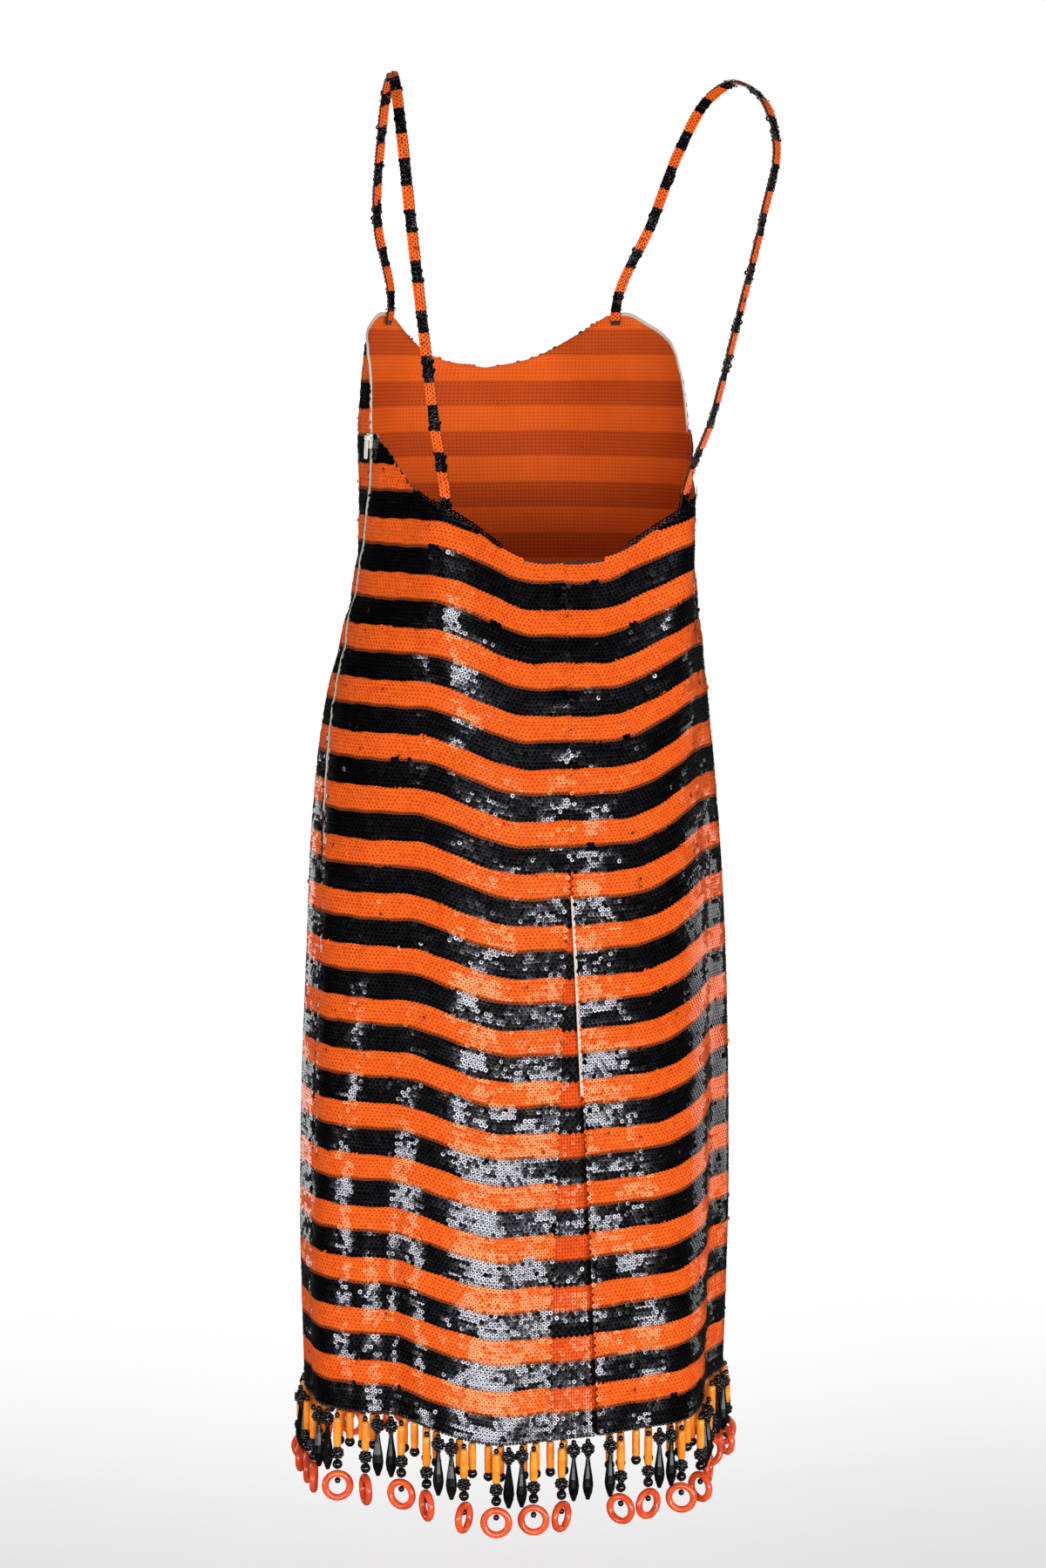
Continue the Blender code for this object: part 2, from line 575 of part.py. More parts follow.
def add_pull(collection):
    """The pull tab: a knuckle round the pin, its lowest side drawn down into a flat tongue.
    It hangs plumb from the pin."""
    pin = pin_place()
    bm = bmesh.new()
    sides = 12
    loops = []
    for k in range(sides):
        turned = 2 * math.pi * (k + 0.5) / sides
        away = Vector((0.0, -math.cos(turned), math.sin(turned)))
        corners = ((KNUCKLE_RADIUS, 1), (KNUCKLE_RADIUS, -1), (EYE_RADIUS, -1), (EYE_RADIUS, 1))
        loops.append([
            bm.verts.new(pin + away * radius + Vector((side * KNUCKLE_WIDE / 2, 0.0, 0.0)))
            for radius, side in corners
        ])
    for k, (first, second) in enumerate(zip(loops, loops[1:] + loops[:1], strict=True)):
        for corner in range(4):
            after = (corner + 1) % 4
            face = bm.faces.new((first[corner], second[corner], second[after], first[after]))
            if k == sides - 1 and corner == 0:
                end = face
    bmesh.ops.recalc_face_normals(bm, faces=bm.faces)
    shoulder = EAR_LONG / 2 + 2 * PARTING
    stations = ((shoulder, KNUCKLE_WIDE), (shoulder + 0.0008, PULL_WIDE),
                (PULL_LONG - 0.0018, PULL_WIDE), (PULL_LONG, PULL_WIDE * 0.55))
    for down, wide in stations:
        end = bmesh.ops.extrude_discrete_faces(bm, faces=[end])["faces"][0]
        for vert in end.verts:
            across = math.copysign(wide / 2, vert.co.x)
            out = pin.z + math.copysign(PULL_THICK / 2, vert.co.z - pin.z)
            vert.co = (across, pin.y - down, out)
    bmesh.ops.recalc_face_normals(bm, faces=bm.faces)
    for vert in bm.verts:
        vert.co -= pin
    mesh = bpy.data.meshes.new("zip_pull")
    bm.to_mesh(mesh)
    bm.free()
    made = add_object("zip_pull", mesh, "zip", collection)
    frame = slider_frame()
    across = frame.col[0].to_3d()
    plumb = (Vector((0.0, 0.0, 1.0)) - across * across.z).normalized()
    hang = Matrix((across, plumb, across.cross(plumb))).transposed().to_4x4()
    made.matrix_world = Matrix.Translation(frame @ pin) @ hang


# ---------------------------------------------------------------- the hem fringe
def hem_lengths():
    """Angles round the hem and the length of hem from the centre back to each."""
    angle = np.linspace(CENTRE_BACK - 180.0, CENTRE_BACK + 180.0, 1441)
    points = set_in(angle, 0.0, -FRONT_ROW)[:, :2]
    along = np.concatenate([[0.0], np.cumsum(np.linalg.norm(np.diff(points, axis=0), axis=1))])
    middle = np.interp(CENTRE_BACK, angle, along)
    return angle, middle - along      # positive towards the wearer's left


def hem_angle(along):
    angle, length = hem_lengths()
    return np.interp(-np.asarray(along), -length, angle)


def strand_places():
    """Every strand round the hem: its kind, its place along the hem and how far it stands out."""
    _, length = hem_lengths()
    pitch = (length[0] - length[-1] - (PLEAT_BARE[1] - PLEAT_BARE[0])) / GROUPS
    found = [Strand("drop", LONE_DROP, FRONT_ROW)]
    for k in range(GROUPS):
        middle = PLEAT_BARE[1] + pitch * (k + 0.5)
        for strand in GROUP:
            along = middle + strand.along
            along = (along - length[-1]) % (length[0] - length[-1]) + length[-1]
            found.append(Strand(strand.kind, along, strand.out))
    return sorted(found, key=lambda strand: -strand.along)


def strip_spans():
    """The fringe's backing strips: name, first and last angle, how far set in, how far lower."""
    pleat = pleat_swing(0.0)
    gap = degrees_for(SEAM, 0.0)
    left, right, seam = CENTRE_BACK - pleat, CENTRE_BACK + pleat, side_seam(0.0)
    return (
        ("fringe_left", seam + gap, left - gap, 0.0, 0.0),
        ("fringe_pleat", left + gap, right - gap, UNDERLAY_IN_HEM, UNDERLAY_DROP),
        ("fringe_right", right + gap, 180.0 - seam - gap, 0.0, 0.0),
        ("fringe_front", 180.0 - seam + gap, 360.0 + seam - gap, 0.0, 0.0),
    )


def hem_frames(angles, inwards, lower):
    """Points on the hem at the strip's middle, with the level outward and sideways directions."""
    points = outer_face(angles, 0.0)
    out = outward(angles, 0.0)
    out = unit(out * [1.0, 1.0, 0.0])
    side = np.stack([-out[:, 1], out[:, 0], np.zeros(len(out))], axis=-1)
    points = points - out * (inwards + STRIP_THICK / 2)
    points[:, 2] -= lower
    return points, out, side


def add_strand(bm, root, beads, point, out, side, stand_out):
    """Draws a strand down from a face of the strip, a square section at each bead."""
    signs = [(np.sign(np.dot(np.array(v.co) - point, side)),
              np.sign(np.dot(np.array(v.co) - point, out))) for v in root.verts]
    face = root
    for bead in (ROOT, *beads):
        grown = bmesh.ops.extrude_discrete_faces(bm, faces=[face])
        face = grown["faces"][0]
        aside = 0.0 if bead is ROOT else stand_out
        centre = point + out * aside - np.array([0.0, 0.0, bead.down])
        for vert, (across, outwards) in zip(face.verts, signs, strict=True):
            vert.co = (centre + (side * across + out * outwards) * bead.half).tolist()
    return face


def add_ring(bm, end, centre_top, out, side, turn):
    """A ring of square section that hangs from a strand's last face."""
    cos, sin = math.cos(math.radians(turn)), math.sin(math.radians(turn))
    flat, axis = side * cos + out * sin, out * cos - side * sin
    down = np.array([0.0, 0.0, -1.0])
    drop = RING_OUTER * math.cos(math.pi / RING_SIDES) + 0.0008
    centre = centre_top + down * drop
    loops = []
    for k in range(RING_SIDES):
        turned = 2 * math.pi * (k + 0.5) / RING_SIDES
        away = flat * math.sin(turned) - down * math.cos(turned)
        corners = [(RING_OUTER, 1), (RING_OUTER, -1), (RING_INNER, -1), (RING_INNER, 1)]
        loops.append([
            bm.verts.new((centre + away * radius + axis * sign * RING_THICK / 2).tolist())
            for radius, sign in corners
        ])
    for k, (first, second) in enumerate(zip(loops, loops[1:] + loops[:1], strict=True)):
        for corner in range(4):
            after = (corner + 1) % 4
            if k == RING_SIDES - 1 and corner == 0:
                continue            # the top outer face, where the strand joins
            bm.faces.new((first[corner], second[corner], second[after], first[after]))
    top = [loops[-1][0], loops[0][0], loops[0][1], loops[-1][1]]
    joined = list(end.verts)
    bm.faces.remove(end)
    best = min(range(4), key=lambda r: sum(
        (joined[i].co - top[(i + r) % 4].co).length for i in range(4)))
    flipped = [top[0], top[3], top[2], top[1]]
    other = min(range(4), key=lambda r: sum(
        (joined[i].co - flipped[(i + r) % 4].co).length for i in range(4)))
    straight = sum((joined[i].co - top[(i + best) % 4].co).length for i in range(4))
    crossed = sum((joined[i].co - flipped[(i + other) % 4].co).length for i in range(4))
    order, shift = (top, best) if straight <= crossed else (flipped, other)
    for i in range(4):
        j = (i + 1) % 4
        bm.faces.new((joined[i], joined[j], order[(j + shift) % 4], order[(i + shift) % 4]))


def add_fringe(collection):
    strands = strand_places()
    turn_number = 0
    for name, first, last, inwards, lower in strip_spans():
        placed = sorted((place_between(s.along, first), s) for s in strands)
        inside = [strand for angle, strand in placed if angle < last]
        angles = np.array([angle for angle, _ in placed if angle < last])
        edges = np.concatenate([[first], (angles[1:] + angles[:-1]) / 2, [last]])
        points, outs, sides = hem_frames(edges, inwards, lower)
        bm = bmesh.new()
        loops = []
        for point, out in zip(points, outs, strict=True):
            corners = []
            for depth, down in ((0.5, 0.0), (0.5, 1.0), (-0.5, 1.0), (-0.5, 0.0)):
                corner = point + out * STRIP_THICK * depth
                corner = corner - [0, 0, STRIP_PARTING + STRIP_TALL * down]
                corners.append(bm.verts.new(corner.tolist()))
            loops.append(corners)
        bm.faces.new(loops[0])
        bm.faces.new(loops[-1][::-1])
        roots = []
        for a, b in zip(loops, loops[1:]):
            for k in range(4):
                made = bm.faces.new((a[k], a[(k + 1) % 4], b[(k + 1) % 4], b[k]))
                if k == 1:
                    roots.append(made)
        bmesh.ops.recalc_face_normals(bm, faces=bm.faces)
        points, outs, sides = hem_frames(angles, inwards, lower)
        for strand, root, point, out, side in zip(inside, roots, points, outs, sides, strict=True):
            end = add_strand(bm, root, STRANDS[strand.kind], point, out, side, strand.out)
            if strand.kind == "ring":
                turn = RING_TURNS[turn_number % len(RING_TURNS)]
                turn_number += 1
                last_bead = STRANDS["ring"][-1]
                top = point + out * strand.out - np.array([0.0, 0.0, last_bead.down])
                add_ring(bm, end, top, out, side, turn)
        bmesh.ops.recalc_face_normals(bm, faces=bm.faces)
        mesh = bpy.data.meshes.new(name)
        bm.to_mesh(mesh)
        bm.free()
        add_object(name, mesh, "beads", collection)


def place_between(along, first):
    """The angle of a place on the hem, counted up from a strip's first angle."""
    return first + (hem_angle(along) - first) % 360.0


# ---------------------------------------------------------------- the dress
def build():
    clear_scene()
    dress = bpy.data.collections.new("dress")
    cutters = bpy.data.collections.new("cutters")
    for collection in (dress, cutters):
        bpy.context.scene.collection.children.link(collection)
    add_panels(dress)
    add_underlay(dress)
    add_straps(dress)
    add_zip_tape(dress)
    add_zip_coil(dress)
    add_slider(dress, cutters)
    add_pull(dress)
    add_fringe(dress)


build()
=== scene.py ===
"""The looks of a sleeveless evening shift: cloth sewn all over with ring sequins in stripes of
orange and black, two thin sequinned straps, a zip in the wearer's left side seam, a kick pleat
at the centre back and a hem fringe of glass beads, drops and rings.

Metres, +Z up. The front of the dress faces -Y and the wearer's left side is +X. A place on the
cloth is an angle round the body in degrees (0 the wearer's left side, 90 the centre back, 270
the centre front) and a height above the hem.
"""

import itertools
import math
from collections import namedtuple

import bpy
import numpy as np
from mathutils import Matrix, Vector


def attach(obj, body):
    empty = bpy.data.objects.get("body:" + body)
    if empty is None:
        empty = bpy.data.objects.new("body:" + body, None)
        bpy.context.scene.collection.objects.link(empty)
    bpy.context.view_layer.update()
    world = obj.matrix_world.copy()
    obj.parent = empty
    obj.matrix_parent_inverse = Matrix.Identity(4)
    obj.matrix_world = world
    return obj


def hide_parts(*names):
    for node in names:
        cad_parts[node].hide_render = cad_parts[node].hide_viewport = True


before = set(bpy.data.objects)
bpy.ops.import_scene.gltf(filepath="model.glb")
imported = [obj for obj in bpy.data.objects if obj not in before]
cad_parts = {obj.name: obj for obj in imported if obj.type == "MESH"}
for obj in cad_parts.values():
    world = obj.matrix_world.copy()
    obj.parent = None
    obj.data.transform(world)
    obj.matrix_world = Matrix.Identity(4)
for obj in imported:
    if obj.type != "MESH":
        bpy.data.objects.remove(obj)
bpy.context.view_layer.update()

# ---------------------------------------------------------------- camera
# The dress is seen from behind and a little to the wearer's left, from chest height.
CAMERA_AROUND, CAMERA_DOWN = math.radians(20.0), math.radians(7.1)
CAMERA_AWAY, CAMERA_LEVEL, CAMERA_ASIDE = 3.0, -0.205, -0.034
VIEW_TALL, FOCAL_PIXELS = 1799.0, 4167.0  # the view's height and the focal length, in pixels
SENSOR = 36.0             # millimetres

camera = bpy.data.objects.new("camera", bpy.data.cameras.new("camera"))
bpy.context.scene.collection.objects.link(camera)
bpy.context.scene.camera = camera
camera.data.sensor_fit = "VERTICAL"
camera.data.sensor_height = camera.data.sensor_width = SENSOR
camera.data.lens = FOCAL_PIXELS * SENSOR / VIEW_TALL
away = Vector((math.sin(CAMERA_AROUND), math.cos(CAMERA_AROUND), 0.0))
right = Vector((-away.y, away.x, 0.0))
look = -away * math.cos(CAMERA_DOWN) - Vector((0.0, 0.0, math.sin(CAMERA_DOWN)))
place = away * CAMERA_AWAY + right * CAMERA_ASIDE + Vector((0.0, 0.0, CAMERA_LEVEL))
camera.matrix_world = Matrix.Translation(place) @ Matrix(
    (right, right.cross(look), -look)).transposed().to_4x4()

# ---------------------------------------------------------------- studio
# A plain pale floor that fades into a white surround, and soft lamps placed low, so that the
# sequins of the skirt catch them.
FLOOR_LEVEL, FLOOR_REACH = -1.42, 14.0
FLOOR_NEAR, FLOOR_FAR = 0.5, 1.7      # how far from the dress the floor begins and ends to fade
WHITE = (1.0, 1.0, 1.0)
AMBIENT = (0.69, 0.69, 0.70)     # what lights the dull surfaces
DARK_STUDIO = (0.020, 0.020, 0.022)       # what the glossy ones mirror beside the lamps
FACED = -0.07             # the lamps face the upright line at this Y, inside the dress
Lamp = namedtuple("Lamp", "name around away level wide tall watts")
LAMPS = (
    # around: degrees from the wearer's left (0) by the back (90)
    Lamp("behind_camera", 80.0, 3.4, -1.07, 3.1, 0.68, 84.0),
    Lamp("behind_right", 119.0, 3.2, -1.01, 0.75, 0.76, 22.0),
    Lamp("behind_left", 12.0, 3.0, -1.12, 0.80, 0.50, 14.0),
    Lamp("left_side", -72.0, 2.6, -1.05, 0.7, 0.85, 5.0),
    Lamp("right_side", 195.0, 2.6, -1.15, 1.4, 0.80, 7.0),
    Lamp("front", 252.0, 3.4, -0.45, 1.5, 1.30, 34.0),
)


class Tone:
    """One output of a shader node. Arithmetic on tones adds Math nodes, and node() any other."""

    def __init__(self, tree, socket=None):
        self.tree, self.socket = tree, socket

    def node(self, kind, settings, sockets, output=0):
        made = self.tree.nodes.new("ShaderNode" + kind)
        for name, value in settings.items():
            setattr(made, name, value)
        for name, value in sockets.items():
            socket = made.inputs[name]
            if isinstance(value, Tone):
                self.tree.links.new(value.socket, socket)
            else:
                socket.default_value = (*value, 1.0) if socket.type == "RGBA" else value
        return Tone(self.tree, made.outputs[output] if made.outputs else None)

    def maths(self, operation, *values):
        return self.node("Math", {"operation": operation}, dict(enumerate(values)))

    def __add__(self, other):
        return self.maths("ADD", self, other)

    def __rsub__(self, other):
        return self.maths("SUBTRACT", other, self)

    def __mul__(self, other):
        return self.maths("MULTIPLY", self, other)

    __radd__ = __add__

    def between(self, low, high):
        """0 below low and 1 above high, eased from one to the other."""
        return self.node("MapRange", {"interpolation_type": "SMOOTHSTEP"},
                         {"Value": self, "From Min": low, "From Max": high})

    def mix(self, first, second):
        """The first colour where this tone is 0 and the second where it is 1."""
        return self.node("Mix", {"data_type": "RGBA"}, {0: self, 6: first, 7: second}, 2)

    def vector(self, operation, sockets, output=0):
        return self.node("VectorMath", {"operation": operation}, {0: self, **sockets}, output)

    def axis(self, number):
        return self.node("SeparateXYZ", {}, {"Vector": self}, number)

    def noise(self, scale, detail):
        return self.node("TexNoise", {}, {"Vector": self, "Scale": scale, "Detail": detail})

    def bump(self, strength, distance):
        return self.node("Bump", {}, {"Height": self, "Strength": strength, "Distance": distance})

    def ray(self, output):
        """1 for light that arrives in one way, SEEN or MIRRORED, else 0."""
        return self.node("LightPath", {}, {}, output)

    def spot(self):
        """Where a point of the piece is, in metres."""
        return self.node("TexCoord", {}, {}, 3)

    def surface(self, sockets):
        """Ends a material with one plain surface."""
        self.node("OutputMaterial", {}, {"Surface": self.node("BsdfPrincipled", {}, sockets)})


def new_finish(name):
    """An empty material, and the tone that its nodes are added through."""
    material = bpy.data.materials.new(name)
    material.use_nodes = True
    material.node_tree.nodes.clear()
    return material, Tone(material.node_tree)


SEEN, MIRRORED = 0, 3     # straight from the camera, and off a glossy surface


def studio_light(tone):
    """White where it is seen, dark where a glossy surface mirrors it, and pale for the rest."""
    return tone.ray(SEEN).mix(tone.ray(MIRRORED).mix(AMBIENT, DARK_STUDIO), WHITE)


world = bpy.data.worlds.new("surround")
bpy.context.scene.world = world
bpy.context.scene.view_settings.view_transform = "Standard"
world.use_nodes = True
world.node_tree.nodes.clear()
air = Tone(world.node_tree)
surround = air.node("Background", {}, {"Color": studio_light(air)})
air.node("OutputWorld", {}, {"Surface": surround})

bpy.ops.mesh.primitive_circle_add(vertices=96, radius=FLOOR_REACH, fill_type="NGON",
                                  location=(0.0, 0.0, FLOOR_LEVEL))
floor = bpy.context.object
floor.name = "floor"
floor_finish, pale = new_finish("pale_floor")
fade = pale.spot().vector("LENGTH", {}, 1).between(FLOOR_NEAR, FLOOR_FAR)
grain = pale.spot().noise(9.0, 4.0)
painted = pale.node("BsdfPrincipled", {}, {
    "Base Color": grain.mix((0.84, 0.84, 0.83), (0.88, 0.88, 0.87)), "Roughness": 0.6})
beyond = pale.node("Emission", {}, {"Color": studio_light(pale)})
pale.node("OutputMaterial", {}, {"Surface": pale.node("MixShader", {}, {
    0: pale.maths("MAXIMUM", fade, pale.ray(MIRRORED)), 1: painted, 2: beyond})})
floor.data.materials.append(floor_finish)

for lamp in LAMPS:
    light = bpy.data.lights.new(lamp.name, "AREA")
    light.shape, light.size, light.size_y = "RECTANGLE", lamp.wide, lamp.tall
    light.energy = lamp.watts
    hung = bpy.data.objects.new(lamp.name, light)
    bpy.context.scene.collection.objects.link(hung)
    around = math.radians(lamp.around)
    hung.location = (lamp.away * math.cos(around), lamp.away * math.sin(around), lamp.level)
    towards = Vector((0.0, FACED, lamp.level)) - hung.location
    hung.rotation_euler = towards.to_track_quat("-Z", "Y").to_euler()

# ---------------------------------------------------------------- the front
# One panel of woven ground cloth with two bust darts, cut to the neckline and the armholes and
# sewn to the backs at the side seams. It keeps the folds of a standing figure; its inside is
# the bare orange-red ground, because the dress has no lining.
HEM_LEVEL = -1.112        # level of the hem at the side seams, below the strap tops
CENTRE_BACK = 90.0
CLOTH_OUTSIDE, CLOTH_INSIDE = 0.0010, 0.0017     # how deep the ground cloth lies below the sequins
FRONT_GRID = (120, 110)   # its steps across and up

Seam = namedtuple("Seam", "height angle")
SIDE_SEAM = [Seam(*row) for row in (      # the left one's angles; the right one mirrors them
    (0.000, 4.0), (0.500, 3.0), (0.620, 0.0), (0.690, -3.0), (0.740, 2.0), (0.785, 10.0),
    (0.824, 13.0))]
UNDERARM = SIDE_SEAM[-1]
SEAM = 0.0005             # clearance between two panels at a seam
PLEAT_TOP = 0.500         # height above the hem where the kick pleat opens
PLEAT_SWING, PLEAT_CURVE = 6.8, 0.85      # degrees that each back's edge stands off at the hem
PLEAT_SEAM = 0.8          # how much of its half of the seam's clearance each back leaves
ZIP_FOOT = 0.4578         # height above the hem of the zip's lower end
ZIP_GAP, ZIP_OPENS = 0.0046, 0.02     # clear width beside its teeth, and the height it opens over

# The body of the dress: height above the hem, half the width, the place of the centre back, half
# the depth towards the back and the front, and how square the back half is (2 is an ellipse).
Level = namedtuple("Level", "height half_width back to_back to_front square")
LEVELS = [Level(*row) for row in (
    (0.000, 0.1880, 0.0265, 0.1440, 0.1430, 2.10),
    (0.142, 0.1905, 0.0230, 0.1385, 0.1400, 2.10),
    (0.267, 0.1880, 0.0205, 0.1335, 0.1390, 2.10),
    (0.388, 0.1828, 0.0185, 0.1290, 0.1370, 2.10),
    (0.509, 0.1755, 0.0168, 0.1320, 0.1330, 2.15),
    (0.597, 0.1655, 0.0160, 0.1310, 0.1230, 2.25),
    (0.658, 0.1545, 0.0125, 0.1170, 0.1120, 2.40),
    (0.716, 0.1455, 0.0060, 0.1030, 0.1060, 2.55),
    (0.767, 0.1435, 0.0030, 0.1000, 0.1080, 2.60),
    (0.822, 0.1440, 0.0020, 0.0990, 0.1100, 2.60),
    (0.880, 0.1400, 0.0010, 0.0980, 0.0980, 2.60),
    (0.930, 0.1350, 0.0000, 0.0970, 0.0820, 2.60))]
ROUND_FRONT = 2.0

# The height of the cut upper edge at each angle; the back's is the same on both sides.
Edge = namedtuple("Edge", "angle height")
BACK_EDGE = [Edge(*row) for row in (
    (13.0, 0.824), (15.0, 0.824), (21.0, 0.816), (27.0, 0.808), (32.0, 0.797), (40.0, 0.780),
    (46.0, 0.771), (53.0, 0.764), (60.0, 0.758), (67.0, 0.753), (75.0, 0.751), (90.0, 0.750))]
FRONT_EDGE = [Edge(*row) for row in (
    (-90.0, 0.876), (-72.0, 0.885), (-56.0, 0.905), (-44.0, 0.920), (-34.0, 0.923),
    (-22.0, 0.914), (-10.0, 0.904), (-1.0, 0.893), (4.5, 0.878), (8.5, 0.860), (11.8, 0.824),
    (13.0, 0.824))]

# How far the stripes sag at the centre back, and how many degrees from it the sag begins and
# ends to fade: at the hem on the wearer's left and right, and at the top.
SAG_AT_HEM, SAG_AT_TOP = 0.018, 0.032
Fade = namedtuple("Fade", "begins ends")
FADE_LEFT, FADE_RIGHT, FADE_TOP = Fade(18.0, 50.0), Fade(28.0, 66.0), Fade(9.0, 42.0)

# Standing folds: the angle of the crest or trough at the hem and at the top, its spread in
# degrees, and how far it stands out (or, when negative, in) at the hem, the hips and the top.
Fold = namedtuple("Fold", "at_hem at_top spread hem hips top")
FOLDS = [Fold(*row) for row in (
    (14.0, 12.0, 8.0, 0.006, 0.002, 0.0),
    (38.0, 46.0, 9.0, -0.011, -0.005, 0.0),
    (66.0, 62.0, 12.0, 0.006, 0.003, 0.0),
    (125.0, 122.0, 11.0, 0.008, 0.003, 0.0),
    (146.0, 144.0, 8.5, -0.012, -0.004, 0.0),
    (163.0, 165.0, 8.0, -0.001, 0.002, 0.0),
    (199.0, 197.0, 9.0, -0.007, -0.002, 0.0),
    (222.0, 226.0, 11.0, 0.009, 0.003, 0.0),
    (247.0, 248.0, 9.0, -0.009, -0.003, 0.0),
    (271.0, 270.0, 12.0, 0.006, 0.002, 0.0),
    (296.0, 292.0, 9.0, -0.010, -0.003, 0.0),
    (319.0, 314.0, 11.0, 0.009, 0.003, 0.0),
    (345.0, 345.0, 12.0, 0.001, 0.004, 0.0),
    # the corners that the straps draw out of the back's upper edge
    (52.0, 52.0, 12.0, 0.0, 0.0, 0.025),
    (128.0, 128.0, 12.0, 0.0, 0.0, 0.025))]
HIPS_HEIGHT, FOLD_TOP = 0.40, 0.77

# The bust darts shape two soft rises in the front.
BUST_ANGLE, BUST_SPREAD = 27.0, 17.0      # each side of the centre front, degrees
BUST_HEIGHT, BUST_TALL, BUST_RISE = 0.845, 0.055, 0.016

# Small creases: slanting ones gathered above the hips (their place, their reach up and round, a
# wave's height and degrees round), nearly upright ones towards the hem, and puckers at the seams.
GATHER_HEIGHT, GATHER_TALL, GATHER_WIDE, GATHER_DEEP = 0.675, 0.060, 34.0, 0.0010
GATHER_WAVE, GATHER_SLANT = 0.047, 46.0
DRAPE_WAVE, DRAPE_SLANT, DRAPE_FADE, DRAPE_DEEP = 23.0, 1.4, (0.1, 0.5), 0.0007
PUCKER_WAVE, PUCKER_AT_BACK, PUCKER_AT_SIDE = 0.021, 0.0004, 0.0003
BACK_SEAM_SUNK, BACK_SEAM_WIDE, SIDE_SEAM_WIDE, BACK_SEAM_FADE = 0.0006, 4.0, 5.0, 0.02
NEAR_ROUND, NEAR_UP = 0.5, 0.002          # steps to the points that a slope is measured between
SETTLES = 4               # rounds in which a cut edge's place settles


def blend(rows, name, at):
    """A smooth curve through one column of a table, read against its first column: on each step
    the cubic that meets both values with the slopes of the steps round them."""
    xs = np.array([row[0] for row in rows])
    ys = np.array([getattr(row, name) for row in rows])
    slopes = np.gradient(ys, xs)
    at = np.clip(np.asarray(at, float), xs[0], xs[-1])
    i = np.clip(np.searchsorted(xs, at) - 1, 0, len(xs) - 2)
    step = xs[i + 1] - xs[i]
    f = (at - xs[i]) / step
    return (ys[i] * (1 + 2 * f) * (1 - f) ** 2 + slopes[i] * step * f * (1 - f) ** 2
            + ys[i + 1] * f * f * (3 - 2 * f) + slopes[i + 1] * step * f * f * (f - 1))


def ease(low, high, at):
    """0 below low, 1 above high and the cubic 3ff - 2fff between them."""
    f = np.clip((at - low) / (high - low), 0.0, 1.0)
    return f * f * (3 - 2 * f)


def bell(off, spread):
    """A bell curve: the exponential of minus the square of the offset over the spread."""
    return np.exp(-((off / spread) ** 2))


def unit(vectors):
    return vectors / np.linalg.norm(vectors, axis=-1, keepdims=True)


def length_along(line):
    """The length of a line of points from its first to each of them."""
    return np.append(0.0, np.cumsum(np.linalg.norm(np.diff(line, axis=0), axis=1)))


def from_centre_back(angle):
    """Degrees away from the centre back, the same on both sides."""
    return np.abs((angle - CENTRE_BACK + 180.0) % 360.0 - 180.0)


def fold_depth(angle, height):
    """The sum of the standing folds: each is its depth at this height times a bell curve of the
    angle from its crest."""
    near_hem = 1 - ease(0.0, HIPS_HEIGHT, height)
    near_top = ease(HIPS_HEIGHT, FOLD_TOP, height)
    rise = np.clip(height / FOLD_TOP, 0.0, 1.0)
    total = 0.0
    for fold in FOLDS:
        off = angle - fold.at_hem - (fold.at_top - fold.at_hem) * rise
        amount = fold.hem * near_hem + fold.hips * (1 - near_hem) * (1 - near_top)
        amount = amount + fold.top * near_top**3
        total = total + amount * bell((off + 180.0) % 360.0 - 180.0, fold.spread)
    return total


def bust_rise(angle, height):
    """The rise of the two darts: a bell curve of the angle times one of the height."""
    from_front = 180.0 - from_centre_back(angle)
    return (BUST_RISE * bell(from_front - BUST_ANGLE, BUST_SPREAD)
            * bell(height - BUST_HEIGHT, BUST_TALL))


def sag(angle, height):
    """How far a stripe hangs below its level at the side seams: most at the centre back, eased
    away to both sides."""
    rise = np.clip(height / FOLD_TOP, 0.0, 1.0)
    most = SAG_AT_HEM + (SAG_AT_TOP - SAG_AT_HEM) * rise
    right = (angle > CENTRE_BACK) & (angle < CENTRE_BACK + 180.0)
    begins = np.where(right, FADE_RIGHT.begins, FADE_LEFT.begins)
    ends = np.where(right, FADE_RIGHT.ends, FADE_LEFT.ends)
    begins = begins + (FADE_TOP.begins - begins) * rise
    ends = ends + (FADE_TOP.ends - ends) * rise
    return most * (1 - ease(begins, ends, from_centre_back(angle)))


def crease_depth(angle, height):
    """The sum of the small creases: sine waves, each faded by bell curves or eased away."""
    back = from_centre_back(angle)
    side = np.abs(back - CENTRE_BACK)
    gather = np.sin(2 * np.pi * (height / GATHER_WAVE + side / GATHER_SLANT))
    waist = bell(height - GATHER_HEIGHT, GATHER_TALL) * bell(side, GATHER_WIDE)
    drape = np.sin(2 * np.pi * (angle / DRAPE_WAVE + DRAPE_SLANT * height))
    drape = drape * (1 - ease(*DRAPE_FADE, height))
    pucker = np.sin(2 * np.pi * height / PUCKER_WAVE)
    closed = ease(PLEAT_TOP - BACK_SEAM_FADE, PLEAT_TOP + BACK_SEAM_FADE, height)
    at_back = bell(back, BACK_SEAM_WIDE) * closed
    return (GATHER_DEEP * gather * waist + DRAPE_DEEP * drape
            + (PUCKER_AT_BACK * pucker - BACK_SEAM_SUNK) * at_back
            + PUCKER_AT_SIDE * pucker * bell(side, SIDE_SEAM_WIDE))


